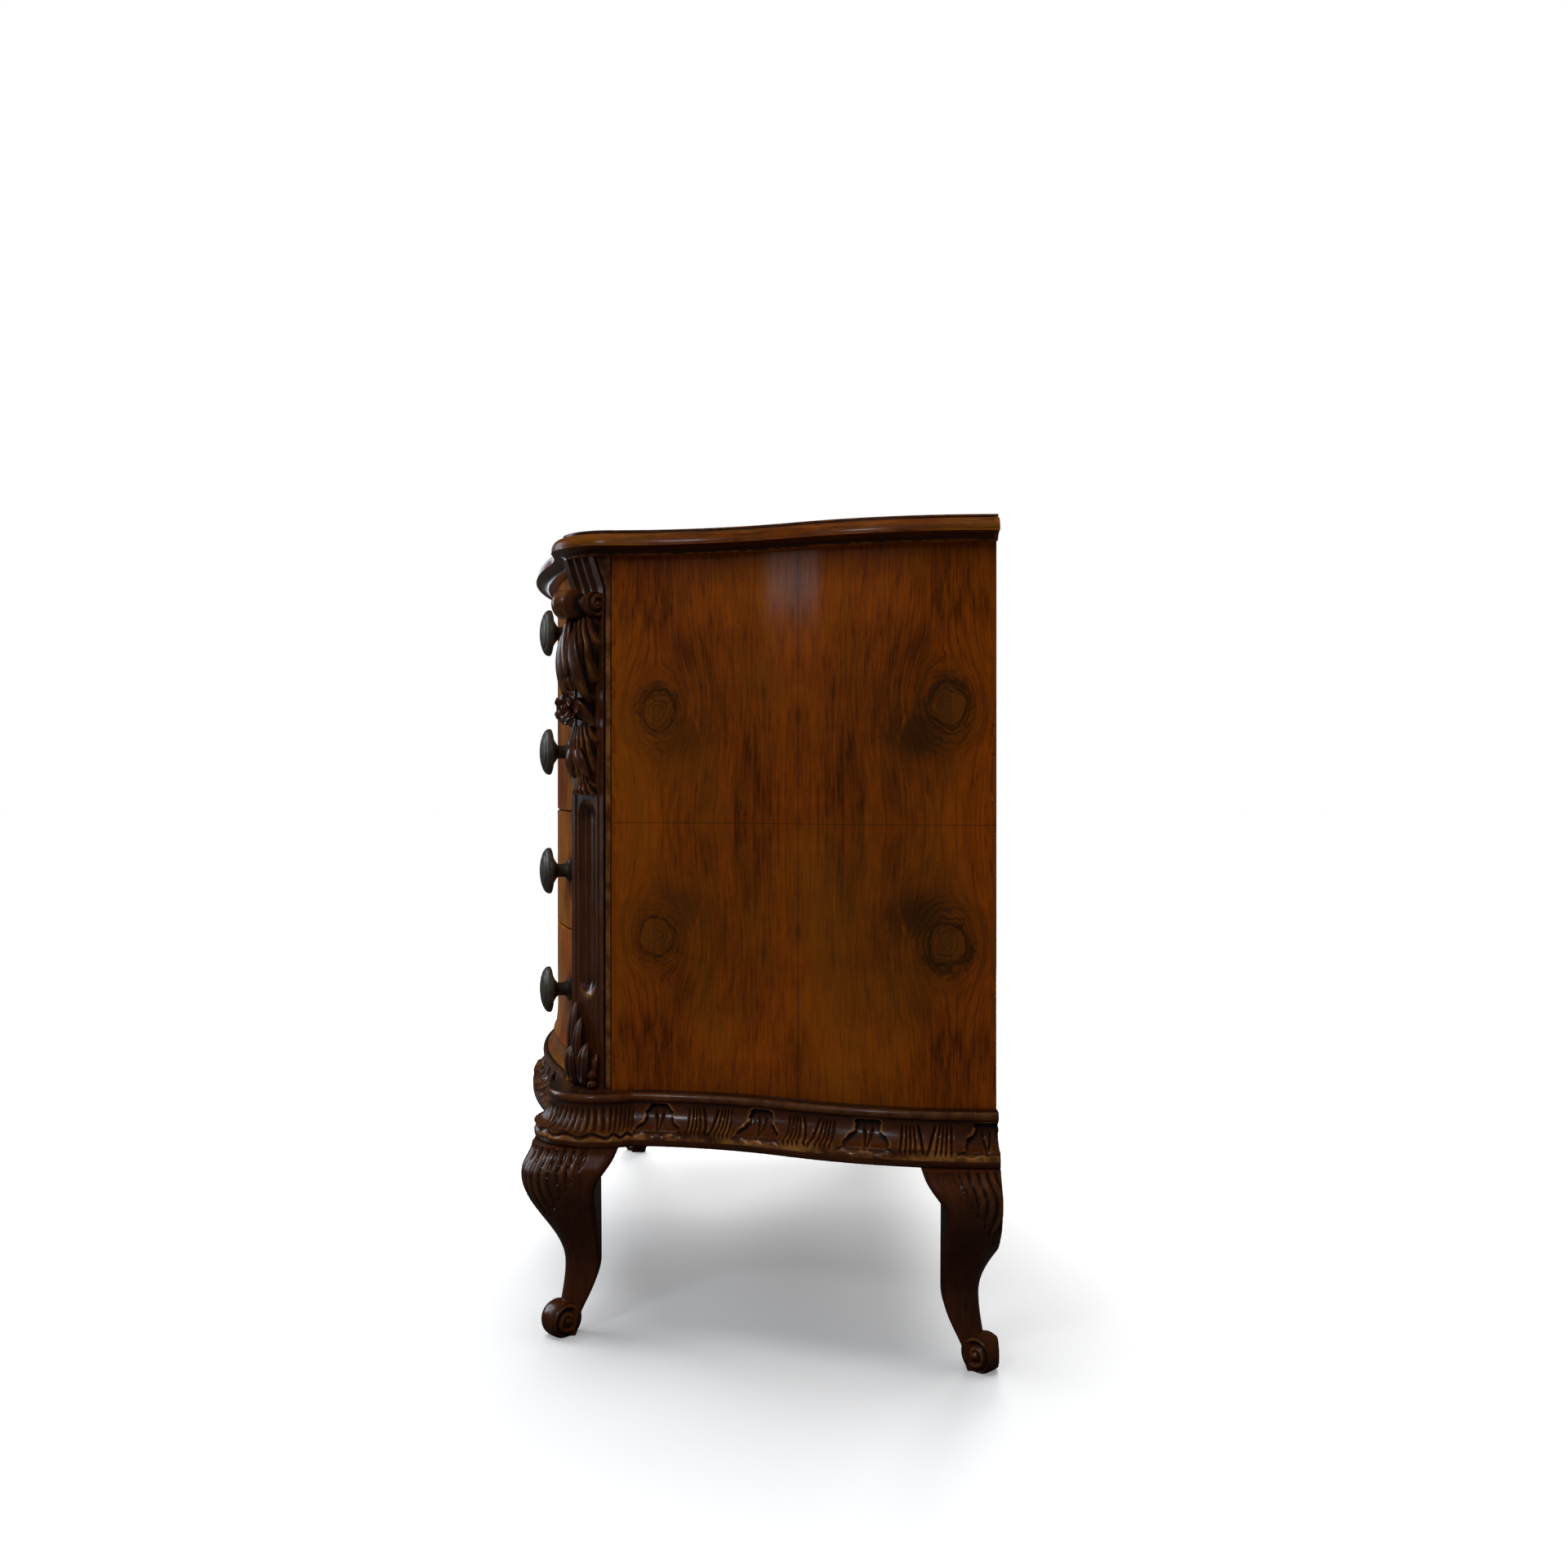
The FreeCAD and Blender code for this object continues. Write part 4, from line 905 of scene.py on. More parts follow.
def make_side_panels(context):
    """Ogee side panels: a thin upright section carried along the side of the plan.

    The section goes up the outer face and down the inner one, which steps out at the rear
    where the back panel is let in.
    """
    plan = context.scene.commode_plan
    path = follow(plan_arcs(plan)["side"], plan.step)
    z = np.linspace(CASE_Z, TOP_Z, 60)
    wall = np.where(path[2] < plan.back_thickness, plan.rabbet_lip, plan.panel_thickness - plan.housing)
    out = np.concatenate([np.zeros((len(wall), len(z))), -np.repeat(wall[:, None], len(z), 1)], axis=1)
    grid = swept(path, out, np.concatenate([z, z[::-1]]))
    run = np.broadcast_to((path[2] - path[2][-1] / 2)[:, None], grid.shape[:2])
    place = np.stack([run, 0 * run, grid[..., 2] - (CASE_Z + TOP_Z) / 2], -1)
    patches = [patch(closed(grid), 0, closed(place))] + end_lids(grid)
    material = finish_of(context, "side veneer")
    make_pair("veneered side panel", patches, material, "side_panel", crease=30)


def make_drawer_fronts(context):
    """Serpentine fronts: an upright section with eased edges, carried along the front of the plan.

    The lowest one flares out at its foot by a quarter ellipse.
    """
    plan, base = context.scene.commode_plan, context.scene.commode_base
    ease, first_row = 0.0012, 0.006
    material = finish_of(context, "front veneer")
    for name in DRAWERS:
        low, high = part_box(name + "_front")
        path = front_path(plan, high.x)
        rows = np.linspace(low.z + first_row, high.z - ease, 30)
        z = np.concatenate([[low.z, low.z + ease], rows, [high.z]])
        out = np.zeros_like(z)
        if name == DRAWERS[-1]:
            share = np.clip((z - low.z) / base.flare_height, 0, 1)
            out = base.rail_head_out * (1 - np.sqrt(1 - (1 - share) ** 2))
        out[[0, -1]] -= ease
        inner = np.full_like(z, -plan.front_thickness)
        grid = swept(path, np.concatenate([out, inner]), np.concatenate([z, z[::-1]]))
        run = np.broadcast_to(path[2][:, None], grid.shape[:2])
        place = np.stack([run, 0 * run + low.z, grid[..., 2] - low.z], -1)
        patches = [patch(closed(grid), 0, closed(place))] + end_lids(grid)
        make_piece(name + " veneered front", patches, material, name, [name + "_front"], crease=30)


def make_bottom_rail(context):
    """Coved rail under the drawers: a quarter ellipse from foot to head, carried along the front."""
    plan, base = context.scene.commode_plan, context.scene.commode_base
    low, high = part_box("front_bottom_rail")
    path = front_path(plan, high.x)
    foot = (base.rail_foot_out, low.z)
    cove = np.concatenate([[foot], rounded(foot, (base.rail_head_out, high.z), False, 12)])
    behind_fronts = 0.002
    back = np.full(len(cove), -plan.front_thickness - behind_fronts)
    grid = swept(path, np.concatenate([cove[:, 0], back]), np.concatenate([cove[:, 1], cove[::-1, 1]]))
    patches = [patch(closed(grid))] + end_lids(grid)
    material = finish_of(context, "front veneer")
    make_piece("coved rail", patches, material, CASE_BODY, ["front_bottom_rail"], crease=30)


# Base band

# Foot and head of each slanting stroke, measured from the middle between two leaves
STROKES = ((0.0095, 0.0160), (0.0160, 0.0195), (0.0215, 0.0235), (0.0280, 0.0280))


def groove(distance, half_width):
    """Bell curve of the distance from the middle of a cut."""
    return np.exp(-((distance / half_width) ** 2))


def from_nearest(run, pitch):
    """Distance along a run to the nearest of many places, a pitch apart."""
    return np.abs((run + pitch / 2) % pitch - pitch / 2)


def lappet_relief(run, rise, base):
    """Carving of the base band over running length and rise, both as grids, rise from 0 to 1.

    Scooped leaves repeat at a pitch. Each is wide at its foot and narrow at its head, with a waving
    edge and a narrow V in its middle. Between the leaves are a wide V and slanting strokes.
    """
    notch_spread, notch_width = 0.0055, 0.0011
    v_spread, v_width, stroke_width = 0.0115, 0.0012, 0.0010
    pitch = base.lappet_pitch
    near = from_nearest(run, pitch)
    order = np.round(run / pitch)
    apart = pitch / 2 - near
    wave = 0.0022 * np.sin(15 * rise + order) + 0.0008 * np.sin(37 * rise)
    half_width = base.lappet_head + (base.lappet_foot - base.lappet_head) * (1 - rise) ** 1.7 + wave
    lip = 0.13 + 0.045 * np.sin(260 * near + order)
    inside = swell(half_width - near, -0.0004, 0.0012) * swell(rise - lip, -0.02, 0.05)
    inside *= swell(0.97 - rise, 0, 0.06)
    scoop = inside * (0.25 + 0.75 * swell(rise, 0.1, 0.7))
    notch = groove(near - notch_spread * swell(rise, 0.1, 0.9), notch_width)
    notch = notch * swell(rise, 0.14, 0.3) * swell(0.85 - rise, 0, 0.2)
    strokes = groove(apart - v_spread * rise, v_width)
    for foot, head in STROKES:
        strokes = strokes + 0.8 * groove(apart - foot - (head - foot) * rise, stroke_width)
    strokes = np.clip(strokes, 0, 1) * swell(rise, 0.05, 0.25) * swell(0.95 - rise, 0, 0.15) * (1 - inside)
    return -base.lappet_depth * scoop - base.gouge_depth * (strokes + 0.7 * notch * inside)


def knuckle_bulge(path, out, plan, base):
    """How far the round corner block stands out beyond a moulding's plain projection, or nothing.

    The distance along a normal to a circle about the knuckle's axis is the larger root of a quadratic.
    """
    points, normals, _ = path
    axis = np.array([corner_middle(plan) + base.knuckle_shift, CORNER_Y - base.knuckle_shift])
    hand = np.where(points[:, :1] < 0, -1, 1) * np.array([1, 0]) + np.array([0, 1])
    away = points * hand - axis
    along = np.sum(away * normals * hand, axis=1)[:, None]
    radius = base.knuckle_radius - base.nose_out + out
    inside = radius ** 2 - np.sum(away ** 2, axis=1)[:, None]
    reach = np.where(inside > 0, np.sqrt(along ** 2 + np.maximum(inside, 0)) - along, 0)
    return np.maximum(reach - out, 0)


def knuckle_relief(run, rise, base):
    """Carving of the round corners over running length and rise: close strokes above a waving edge."""
    pitch, stroke_width = base.stroke_pitch, 0.0011
    edge_rise, edge_wave, edge_width = 0.15, 0.05, 0.05
    lean = run + 0.5 * pitch * rise * np.sin(np.pi * run / (5 * pitch))
    strokes = groove(from_nearest(lean, pitch), stroke_width)
    strokes = strokes * swell(rise, 0.2, 0.4) * swell(0.96 - rise, 0, 0.15)
    edge = groove(rise - edge_rise - edge_wave * np.sin(np.pi * run / (1.6 * pitch)), edge_width)
    return -base.gouge_depth * np.maximum(0.7 * strokes, edge)


def base_profile(base):
    """Profile of the base moulding as projection and height, its carved points and their rise."""
    nose_z = BASE_LOW.z + base.fillet_height
    bead_z = CASE_Z - base.bead_height
    foot = (base.fillet_out, BASE_LOW.z)
    nose, brow = (base.nose_out, nose_z), (base.nose_out, nose_z + base.nose_height)
    neck, head = (base.hollow_out, bead_z), (base.hollow_out, CASE_Z)
    belly = (base.bead_out, bead_z + base.bead_height / 2)
    lower = np.concatenate([[foot], rounded(foot, nose, False, 4)])
    face = np.concatenate([np.linspace(nose, brow, 12)[1:], rounded(brow, neck, False, 34)])
    bead = np.concatenate([rounded(neck, belly, False, 6), rounded(belly, head, True, 6)])
    profile = np.concatenate([lower, face, bead])
    carved = np.zeros(len(profile), bool)
    carved[len(lower):len(lower) + len(face)] = True
    return profile, carved, np.clip((profile[:, 1] - nose_z) / (bead_z - nose_z), 0, 1)


def base_band(path, plan, base, phase):
    """Base moulding along a path: fillet, nose, carved hollow and bead, with a flat back.

    The carving moves the hollow along the normal of its profile, and the round corners stand out.
    """
    profile, carved, rise = base_profile(base)
    slope = np.gradient(profile, axis=0)
    normal = np.stack([slope[:, 1], -slope[:, 0]], -1)
    normal /= np.linalg.norm(normal, axis=-1, keepdims=True)
    rise_grid, run_grid = np.broadcast_arrays(rise[None, :], (path[2] - phase)[:, None])
    bulge = knuckle_bulge(path, profile[None, :, 0], plan, base)
    corner = swell(bulge.max(1), 0.0002, 0.003)[:, None]
    leaves = lappet_relief(run_grid, rise_grid, base) * (1 - corner)
    relief = (leaves + knuckle_relief(run_grid, rise_grid, base) * corner) * carved
    out = profile[:, 0] + bulge + relief * normal[:, 0]
    front = swept(path, out, profile[:, 1] + relief * normal[:, 1])
    back = swept(path, np.full(len(profile), -base.inside), profile[::-1, 1])
    grid = np.concatenate([front, back], axis=1)
    from_top = len(profile) - 1 - np.arange(len(profile))
    # Painted highlight, partly wear, on the band's lower part and along the bead; painted shade in the gap
    # along the bead's top under the panel; painted shade, partly grime, in the scoops and strokes.
    foot_wear_and_highlight, bead_wear_and_highlight, bead_top_shade = 0.5, 0.2, 0.7
    wear_and_painted_light = foot_wear_and_highlight * (1 - swell(rise, 0.0, 0.45)) * carved
    wear_and_painted_light = wear_and_painted_light + bead_wear_and_highlight * (from_top < 9) - bead_top_shade * (from_top < 2)
    hollow = recess_of(relief, 0.5 * base.lappet_depth) - wear_and_painted_light * (1 - 0.2 * corner)
    recess = closed(np.concatenate([hollow, np.zeros(back.shape[:2])], axis=1))
    return [patch(closed(grid), recess, along_path(path, closed(grid)))] + end_lids(grid)


def make_base(context):
    """Carved base mouldings of the front and the two sides, mitred at the corners."""
    plan, base = context.scene.commode_plan, context.scene.commode_base
    arcs = plan_arcs(plan)
    material = finish_of(context, "carved walnut")
    front = both_halves(follow(arcs["corner_front"] + arcs["front"], base.step))
    patches = base_band(front, plan, base, 0.0)
    make_piece("front base band", patches, material, CASE_BODY, ["base_moulding_front"])
    side = follow(arcs["side"] + arcs["corner_side"], base.side_step)
    patches = base_band(side, plan, base, base.lappet_phase)
    make_pair("side base band", patches, material, "base_moulding")


# Corner pilasters and their carvings

# Leaves on the cant. Stations are shares of the height from the top, with the shares of the half width
# and of the depth there. Flutes are a pitch apart, as a share of the half width, and as deep as the cut.
UPPER_LEAF = {
    "top": DROP_HIGH.z, "height": 0.097, "half_width": 0.028, "depth": 0.031,
    "pitch": 0.30, "cut": 0.0065,
    "stations": (0, 0.2, 0.45, 0.7, 0.88, 1),
    "widths": (0.9, 1, 1, 0.95, 0.8, 0.5),
    "depths": (0.7, 0.85, 0.95, 1, 1, 0.8),
}
LOWER_LEAF = {
    "top": DROP_LOW.z + 0.086, "height": 0.086, "half_width": 0.023, "depth": 0.022,
    "pitch": 0.34, "cut": 0.0058,
    "stations": (0, 0.2, 0.5, 0.68, 0.8, 1),
    "widths": (0.85, 1, 1, 0.8, 0.6, 0.6),
    "depths": (0.8, 1, 1, 0.75, 0.5, 0.5),
}
BELL = {
    "top": DROP_LOW.z + 0.028, "height": 0.028, "half_width": 0.024, "depth": 0.019,
    "pitch": 0.26, "cut": 0.0050,
    "stations": (0, 0.3, 0.8, 1),
    "widths": (0.5, 0.7, 0.95, 1),
    "depths": (0.5, 0.75, 1, 0.95),
}
# Smooth strips: root, belly and tip, each as across, out and height from the leaf's top, then half
# width, thickness and depth of the vein
CURLS = (
    ((0.004, 0.024, -0.016), (0.012, 0.042, -0.062), (0.022, 0.010, -0.115), 0.0130, 0.0055, 0.0),
    ((0.002, 0.026, -0.110), (0.014, 0.026, -0.116), (0.026, 0.006, -0.142), 0.0105, 0.0050, 0.0),
)
MIDRIB = ((0, 0.026, -0.004), (0, 0.038, -0.042), (0, 0.031, -0.080), 0.009, 0.005, 0.0)
LOBE = ((0.003, 0.016, -0.026), (0.012, 0.023, -0.044), (0.017, 0.008, -0.066), 0.0100, 0.0055, 0.0)
LEAF_HEIGHT = BASE_LEAF_TOP - CASE_Z
# Blades of the base leaf, in the same order, with heights from the base
BLADES = (
    ((-0.012, 0.004, 0.0), (-0.021, 0.015, 0.052), (-0.017, 0.003, LEAF_HEIGHT), 0.0105, 0.006, 0.0014),
    ((-0.002, 0.005, 0.0), (-0.006, 0.019, 0.046), (-0.005, 0.005, 0.087), 0.0100, 0.006, 0.0014),
    ((0.006, 0.007, 0.0), (0.013, 0.021, 0.030), (0.012, 0.009, 0.056), 0.0120, 0.007, 0.0018),
    ((-0.010, 0.008, 0.0), (-0.016, 0.022, 0.028), (-0.012, 0.012, 0.052), 0.0110, 0.006, 0.0016),
    ((0.014, 0.003, 0.0), (0.024, 0.010, 0.024), (0.024, 0.003, 0.044), 0.0070, 0.004, 0.0),
)
# Across, out, height from the base and radius of the bosses beside the base leaf
BOSSES = ((0.022, 0.009, 0.0175, 0.0065), (0.023, 0.010, 0.006, 0.006))
# Petals in each ring of the rose: how many, reach, start, distance off the cant, cup and turn
PETAL_RINGS = ((6, 0.022, 0.006, 0.026, 0.009, 0.0), (5, 0.016, 0.004, 0.031, 0.009, 0.5))
ROSE_RISE = 0.022


def on_cant(context, across, out, z):
    """Points in the frame of the right pilaster.

    Across runs along the cant from its middle, and out runs off the face of the cant.
    """
    plan, corner = context.scene.commode_plan, context.scene.commode_corner
    along = across - corner.proud * HALF_ROOT
    off = out + corner.cant_distance
    x = corner_middle(plan) + (along + off) * HALF_ROOT
    y = CORNER_Y + (along - off) * HALF_ROOT
    return np.stack(np.broadcast_arrays(x, y, z), -1)


def flute_depth(across, z, low, high, half_width, depth):
    """Depth of a round flute with round ends: a circle's arc over the distance from its middle line."""
    beyond = np.maximum(np.maximum(low + half_width - z, z - high + half_width), 0)
    far = np.hypot(across, beyond)
    radius = (half_width ** 2 + depth ** 2) / (2 * depth)
    return np.maximum(np.sqrt(np.maximum(radius ** 2 - far ** 2, 0)) - radius + depth, 0)


def cant_cuts(corner, across, level):
    """Depth of all cuts in the cant: a wide flute with two reeds, narrow grooves and the head's flutes."""
    clear, reed_place, reed_width, reed_height = 0.010, 0.0075, 0.0022, 0.0022
    head_places, head_width, head_depth = (-0.016, 0.0, 0.016), 0.0055, 0.0045
    head_low, head_high = TOP_Z - corner.capital_height - 0.016, TOP_Z + 0.02
    span = (level, BASE_LEAF_TOP + clear, LOWER_LEAF["top"] - LOWER_LEAF["height"] - clear)
    sunk = flute_depth(across, *span, corner.flute_half_width, corner.flute_depth)
    sunk = sunk - reed_height * groove(np.abs(across) - reed_place, reed_width) * swell(sunk, 0.003, 0.006)
    tall = (level, CASE_Z + corner.groove_radius, TOP_Z - corner.scroll_drop)
    for place in (-corner.groove_place, corner.groove_place):
        sunk = sunk + flute_depth(across - place, *tall, corner.groove_radius, corner.groove_radius)
    for place in head_places:
        sunk = sunk + flute_depth(across - place, level, head_low, head_high, head_width, head_depth)
    return sunk


def pilaster_patches(context):
    """Right pilaster: its five-sided plan carried up, flaring at the head, with flutes sunk in the cant."""
    plan, corner = context.scene.commode_plan, context.scene.commode_corner
    corner_x = corner_middle(plan)
    z = np.linspace(CASE_Z, TOP_Z, 190)[:, None]
    flare = np.clip((z - TOP_Z + corner.capital_height) / corner.capital_height, 0, 1)
    front_y = CORNER_Y - plan.corner_radius - corner.proud - corner.capital_out * flare
    side_x = SIDE_LOW.x + plan.panel_thickness + corner.capital_side_out * flare
    cant = (corner.cant_distance + corner.capital_out * flare) / HALF_ROOT
    arris_x = corner_x + cant + front_y - CORNER_Y
    arris_y = CORNER_Y + side_x - corner_x - cant
    share = np.linspace(0, 1, 90)
    across = (share - 0.5) * np.hypot(side_x - arris_x, arris_y - front_y)
    sunk = cant_cuts(corner, across, np.broadcast_to(z, across.shape))
    carved_x = arris_x + (side_x - arris_x) * share - sunk * HALF_ROOT
    carved_y = front_y + (arris_y - front_y) * share + sunk * HALF_ROOT
    cut = corner.groove_radius
    inner = (OPENING_HALF_WIDTH, CORNER_Y)
    strip = (side_x - cut * np.array([0.0, 1.0, 0.0]), arris_y + cut * np.array([0.5, 1.2, 1.9]))
    chamfer = (side_x - cut * np.array([0.0, 0.8]), CORNER_Y - cut * np.array([0.8, 0.0]))
    plan_parts = [inner, (OPENING_HALF_WIDTH, front_y), (arris_x, front_y), (carved_x, carved_y)]
    plan_parts += [(side_x, arris_y), strip, chamfer, inner]
    loop = np.concatenate([np.stack(np.broadcast_arrays(x, y, z), -1) for x, y in plan_parts], axis=1)
    # Painted shade, partly grime, in the flutes, the side strip's groove and the chamfer's corner; painted
    # highlight, partly wear, on the arrises beside them.
    hollow = recess_of(-sunk, depth=0.003, passes=20)
    rows = np.ones((len(z), 1))
    wear_and_painted_light, grime_and_painted_shade = -0.35, 0.9
    side_recess = rows * np.array([wear_and_painted_light, 0.0, grime_and_painted_shade, wear_and_painted_light, wear_and_painted_light, grime_and_painted_shade, 0.0])
    recess = np.concatenate([rows * np.zeros(3), hollow, side_recess], axis=1)
    return [patch(loop, recess), lid(loop[0]), lid(loop[-1])]


def spiral_disc(centre, normal, first, radius, height, turns, hand):
    """Round end with a volute: height follows a cosine of the angle plus turns of the radius, and an eye.

    The disc's plane is spanned by its first direction and the cross product with its normal.
    """
    share = np.linspace(0, 1, 26)[:, None]
    angle = np.linspace(0, 2 * np.pi, 73)[None, :]
    second = np.cross(normal, first)
    ridge = 0.5 + 0.5 * np.cos(hand * angle + 2 * np.pi * turns * share)
    eye = groove(share, 0.2)
    rise = height * (ridge * swell(share, 0.12, 0.3) * (1 - swell(share, 0.9, 1.0)) + 1.3 * eye)
    way = np.cos(angle)[..., None] * first + np.sin(angle)[..., None] * second
    points = centre + share[..., None] * radius * way + rise[..., None] * normal
    # Painted shade low in the volute's groove and painted highlight on its ridges, partly grime and wear.
    return patch(points, 0.7 * (0.55 - rise / height))


def scroll_patches(context):
    """Right console scroll: circles on a bowed line, wide in the middle, narrow at the necks."""
    corner = context.scene.commode_corner
    bulb, neck, eye = corner.bulb_radius, corner.neck_radius, corner.eye_radius
    volute_height, volute_turns = 0.0032, 1.6
    share = np.linspace(-1, 1, 97)[:, None]
    angle = np.linspace(0, 2 * np.pi, 65)[None, :]
    radius = eased(np.abs(share), (0, 0.42, 0.74, 0.92, 1.0), (bulb, bulb, neck, eye, eye))
    out = corner.scroll_seat + corner.scroll_bow * (1 - share ** 2) + radius * np.cos(angle)
    middle_z = TOP_Z - corner.scroll_drop
    tube = on_cant(context, share * corner.scroll_half_length, out, middle_z + radius * np.sin(angle))
    # Painted shade in the groove at each neck and painted highlight over the bulb.
    bulb_highlight_and_neck_shade = 0.6 * groove(np.abs(share) - 0.72, 0.1) - 0.3 * swell(0.6 - np.abs(share), 0.0, 0.3)
    patches = [patch(tube, bulb_highlight_and_neck_shade)]
    along = np.array([HALF_ROOT, HALF_ROOT, 0])
    for sign in (-1, 1):
        centre = on_cant(context, sign * corner.scroll_half_length, corner.scroll_seat, middle_z)
        patches.append(spiral_disc(centre, sign * along, UP, eye, volute_height, volute_turns, sign))
    return patches


def leaf_body(context, leaf):
    """Carved leaf on the cant: half ellipses of changing width and depth, cut with fanning flutes.

    The flutes are a cosine of the place across the leaf, divided by a share that grows down the leaf,
    so that they spread from its head and run out at its edge, which is notched there.
    """
    behind_cant = 0.002
    down = np.linspace(0, 1, 90)[:, None]
    side = np.linspace(-1, 1, 129)[None, :]
    spread = 0.62 + 0.55 * down
    gouge = 1 - np.abs(np.cos(np.pi * side / spread / leaf["pitch"])) ** 0.7
    notch = 1 - 0.12 * np.abs(np.sin(np.pi / leaf["pitch"] / spread))
    half_width = leaf["half_width"] * np.interp(down, leaf["stations"], leaf["widths"]) * notch
    height = leaf["depth"] * np.interp(down, leaf["stations"], leaf["depths"])
    crown = np.sqrt(np.maximum(1 - side ** 2, 0))
    relief = -leaf["cut"] * gouge * crown * (0.5 + 0.5 * np.minimum(1, 3 * down))
    level = leaf["top"] - down * leaf["height"]
    front = on_cant(context, side * half_width, height * crown + relief, level)
    back = on_cant(context, (side * half_width)[:, ::-1], -behind_cant, level)
    loop = closed(np.concatenate([front, back], axis=1))
    # Painted shade in the flutes and at the leaf's edges, painted highlight over the rest.
    hollow = 1.5 * gouge - 0.45 + 0.25 * side ** 4
    recess = closed(np.concatenate([hollow, np.zeros(back.shape[:2])], axis=1))
    return [patch(loop, recess), lid(loop[0]), lid(loop[-1])]


def finger(context, root, belly, tip, half_width, thickness, vein):
    """Smooth carved strip on the cant with a round tip. Points are across, out and height.

    Its middle line is the parabola drawn by three points. Its section is an ellipse, as wide as a
    sine of the share along it, closed at the tip by a square root, with a vein sunk in its middle.
    """
    share = np.linspace(0, 1, 36)[:, None]
    side = np.linspace(-1, 1, 21)[None, :]
    root, belly, tip = np.array(root), np.array(belly), np.array(tip)
    line = (1 - share) ** 2 * root + 2 * share * (1 - share) * belly + share ** 2 * tip
    run = np.gradient(line[:, [0, 2]], axis=0)
    run /= np.linalg.norm(run, axis=-1, keepdims=True)
    closing = np.sqrt(np.maximum(1 - share ** 5, 0))
    width = half_width * np.sin(np.pi * (0.2 + 0.5 * share)) * closing
    crown = np.sqrt(np.maximum(1 - side ** 2, 0))
    body = thickness * crown * closing * np.minimum(1, 8 * share)
    cuts = groove(side, 0.22) + 0.6 * groove(np.abs(side) - 0.6, 0.16)
    sunk = vein * cuts * closing * swell(share, 0.05, 0.3)
    across = line[:, :1] + side * width * run[:, 1:]
    height = line[:, 2:] - side * width * run[:, :1]
    front = on_cant(context, across, line[:, 1:2] + body - sunk, height)
    back = on_cant(context, across, line[:, 1:2] - 0.7 * body, height)
    # Painted shade at the strip's sides, in its veins and on its back, and painted highlight along its
    # crown.
    shade = 0.6 * side ** 6 - 0.35 * crown * share
    if vein:
        shade = shade + 0.9 * sunk / vein
    return [patch(front, shade), patch(back, 0.5)]


def placed_finger(context, strip, foot, sign=1):
    """A strip from a table, at the height of its foot, to the right or to the left of the middle."""
    points = [(sign * across, out, foot + height) for across, out, height in strip[:3]]
    return finger(context, *points, *strip[3:])


def ball(context, across, out, height, radius):
    """Small round boss on the cant: a sphere by its two angles."""
    rise = np.linspace(-np.pi / 2, np.pi / 2, 17)[:, None]
    turn = np.linspace(0, 2 * np.pi, 33)[None, :]
    level, z = radius * np.cos(rise), height + radius * np.sin(rise)
    # The boss takes the light colour of wear and painted highlight all over.
    return patch(on_cant(context, across + level * np.cos(turn), out + level * np.sin(turn), z), -0.3)


def petal(context, middle_z, way, reach, start, low_out, cup):
    """One petal of the rose: a cupped sheet that leaves the axis in its own direction.

    Its width is a power of a sine of the share along it. It is cupped by a sine of that share, and its
    sides stand up by the square of the share across it.
    """
    thickness = 0.003
    along = np.linspace(0, 1, 16)[:, None]
    side = np.linspace(-1, 1, 13)[None, :]
    width = 0.62 * reach * np.sin(np.pi * (0.12 + 0.76 * along)) ** 0.6
    far = start + (reach - start) * along * (1 - 0.10 * side ** 2)
    bow = low_out + cup * np.sin(np.pi * along * 0.62) + 0.003 * side ** 2 - 0.004 * along ** 3
    across = far * np.cos(way) - side * width * np.sin(way)
    up = far * np.sin(way) + side * width * np.cos(way)
    edge = np.minimum(1, 6 * along * (1 - along)) * np.sqrt(np.maximum(1 - side ** 2, 0))
    front = on_cant(context, across, bow, middle_z + up)
    back = on_cant(context, across, bow - thickness * edge, middle_z + up)
    # Painted shade towards the rose's middle and on each petal's back, painted highlight towards the
    # petals' tips.
    return [patch(front, 0.7 * (1 - along) - 0.25), patch(back, 0.7)]


def rosette_patches(context):
    """Open rose: a stalk, two rings of cupped petals and a bud with a twisted edge.

    The stalk is circles of changing radius. The bud is half a ball, stretched outward, whose radius
    waves by a cosine of its two angles.
    """
    stalk_shares, stalk_radii, stalk_outs = (0, 0.75, 1), (0.017, 0.011, 0.0), (-0.002, 0.028, 0.030)
    bud_size, bud_out, bud_height = 0.008, 0.029, 0.011
    middle_z = LOWER_LEAF["top"] + ROSE_RISE
    share = np.linspace(0, 1, 24)[:, None]
    angle = np.linspace(0, 2 * np.pi, 49)[None, :]
    radius = np.interp(share, stalk_shares, stalk_radii)
    out = np.interp(share, stalk_shares, stalk_outs)
    stalk = on_cant(context, radius * np.cos(angle), out, middle_z + radius * np.sin(angle))
    rise = np.linspace(0, np.pi / 2, 16)[:, None]
    whorl = 1 + 0.1 * np.cos(3 * angle + 5 * rise)
    radius = bud_size * np.cos(rise) * whorl
    out = bud_out + bud_height * np.sin(rise)
    bud = on_cant(context, radius * np.cos(angle), out, middle_z + radius * np.sin(angle))
    # Painted shade on the stalk and in the bud's twists, painted highlight on the twists' crests.
    patches = [patch(stalk, 0.5), patch(bud, 2 * (1 - whorl))]
    for count, reach, start, low_out, cup, turn in PETAL_RINGS:
        for step in range(count):
            way = 2 * np.pi * (step + turn) / count
            patches += petal(context, middle_z, way, reach, start, low_out, cup)
    return patches


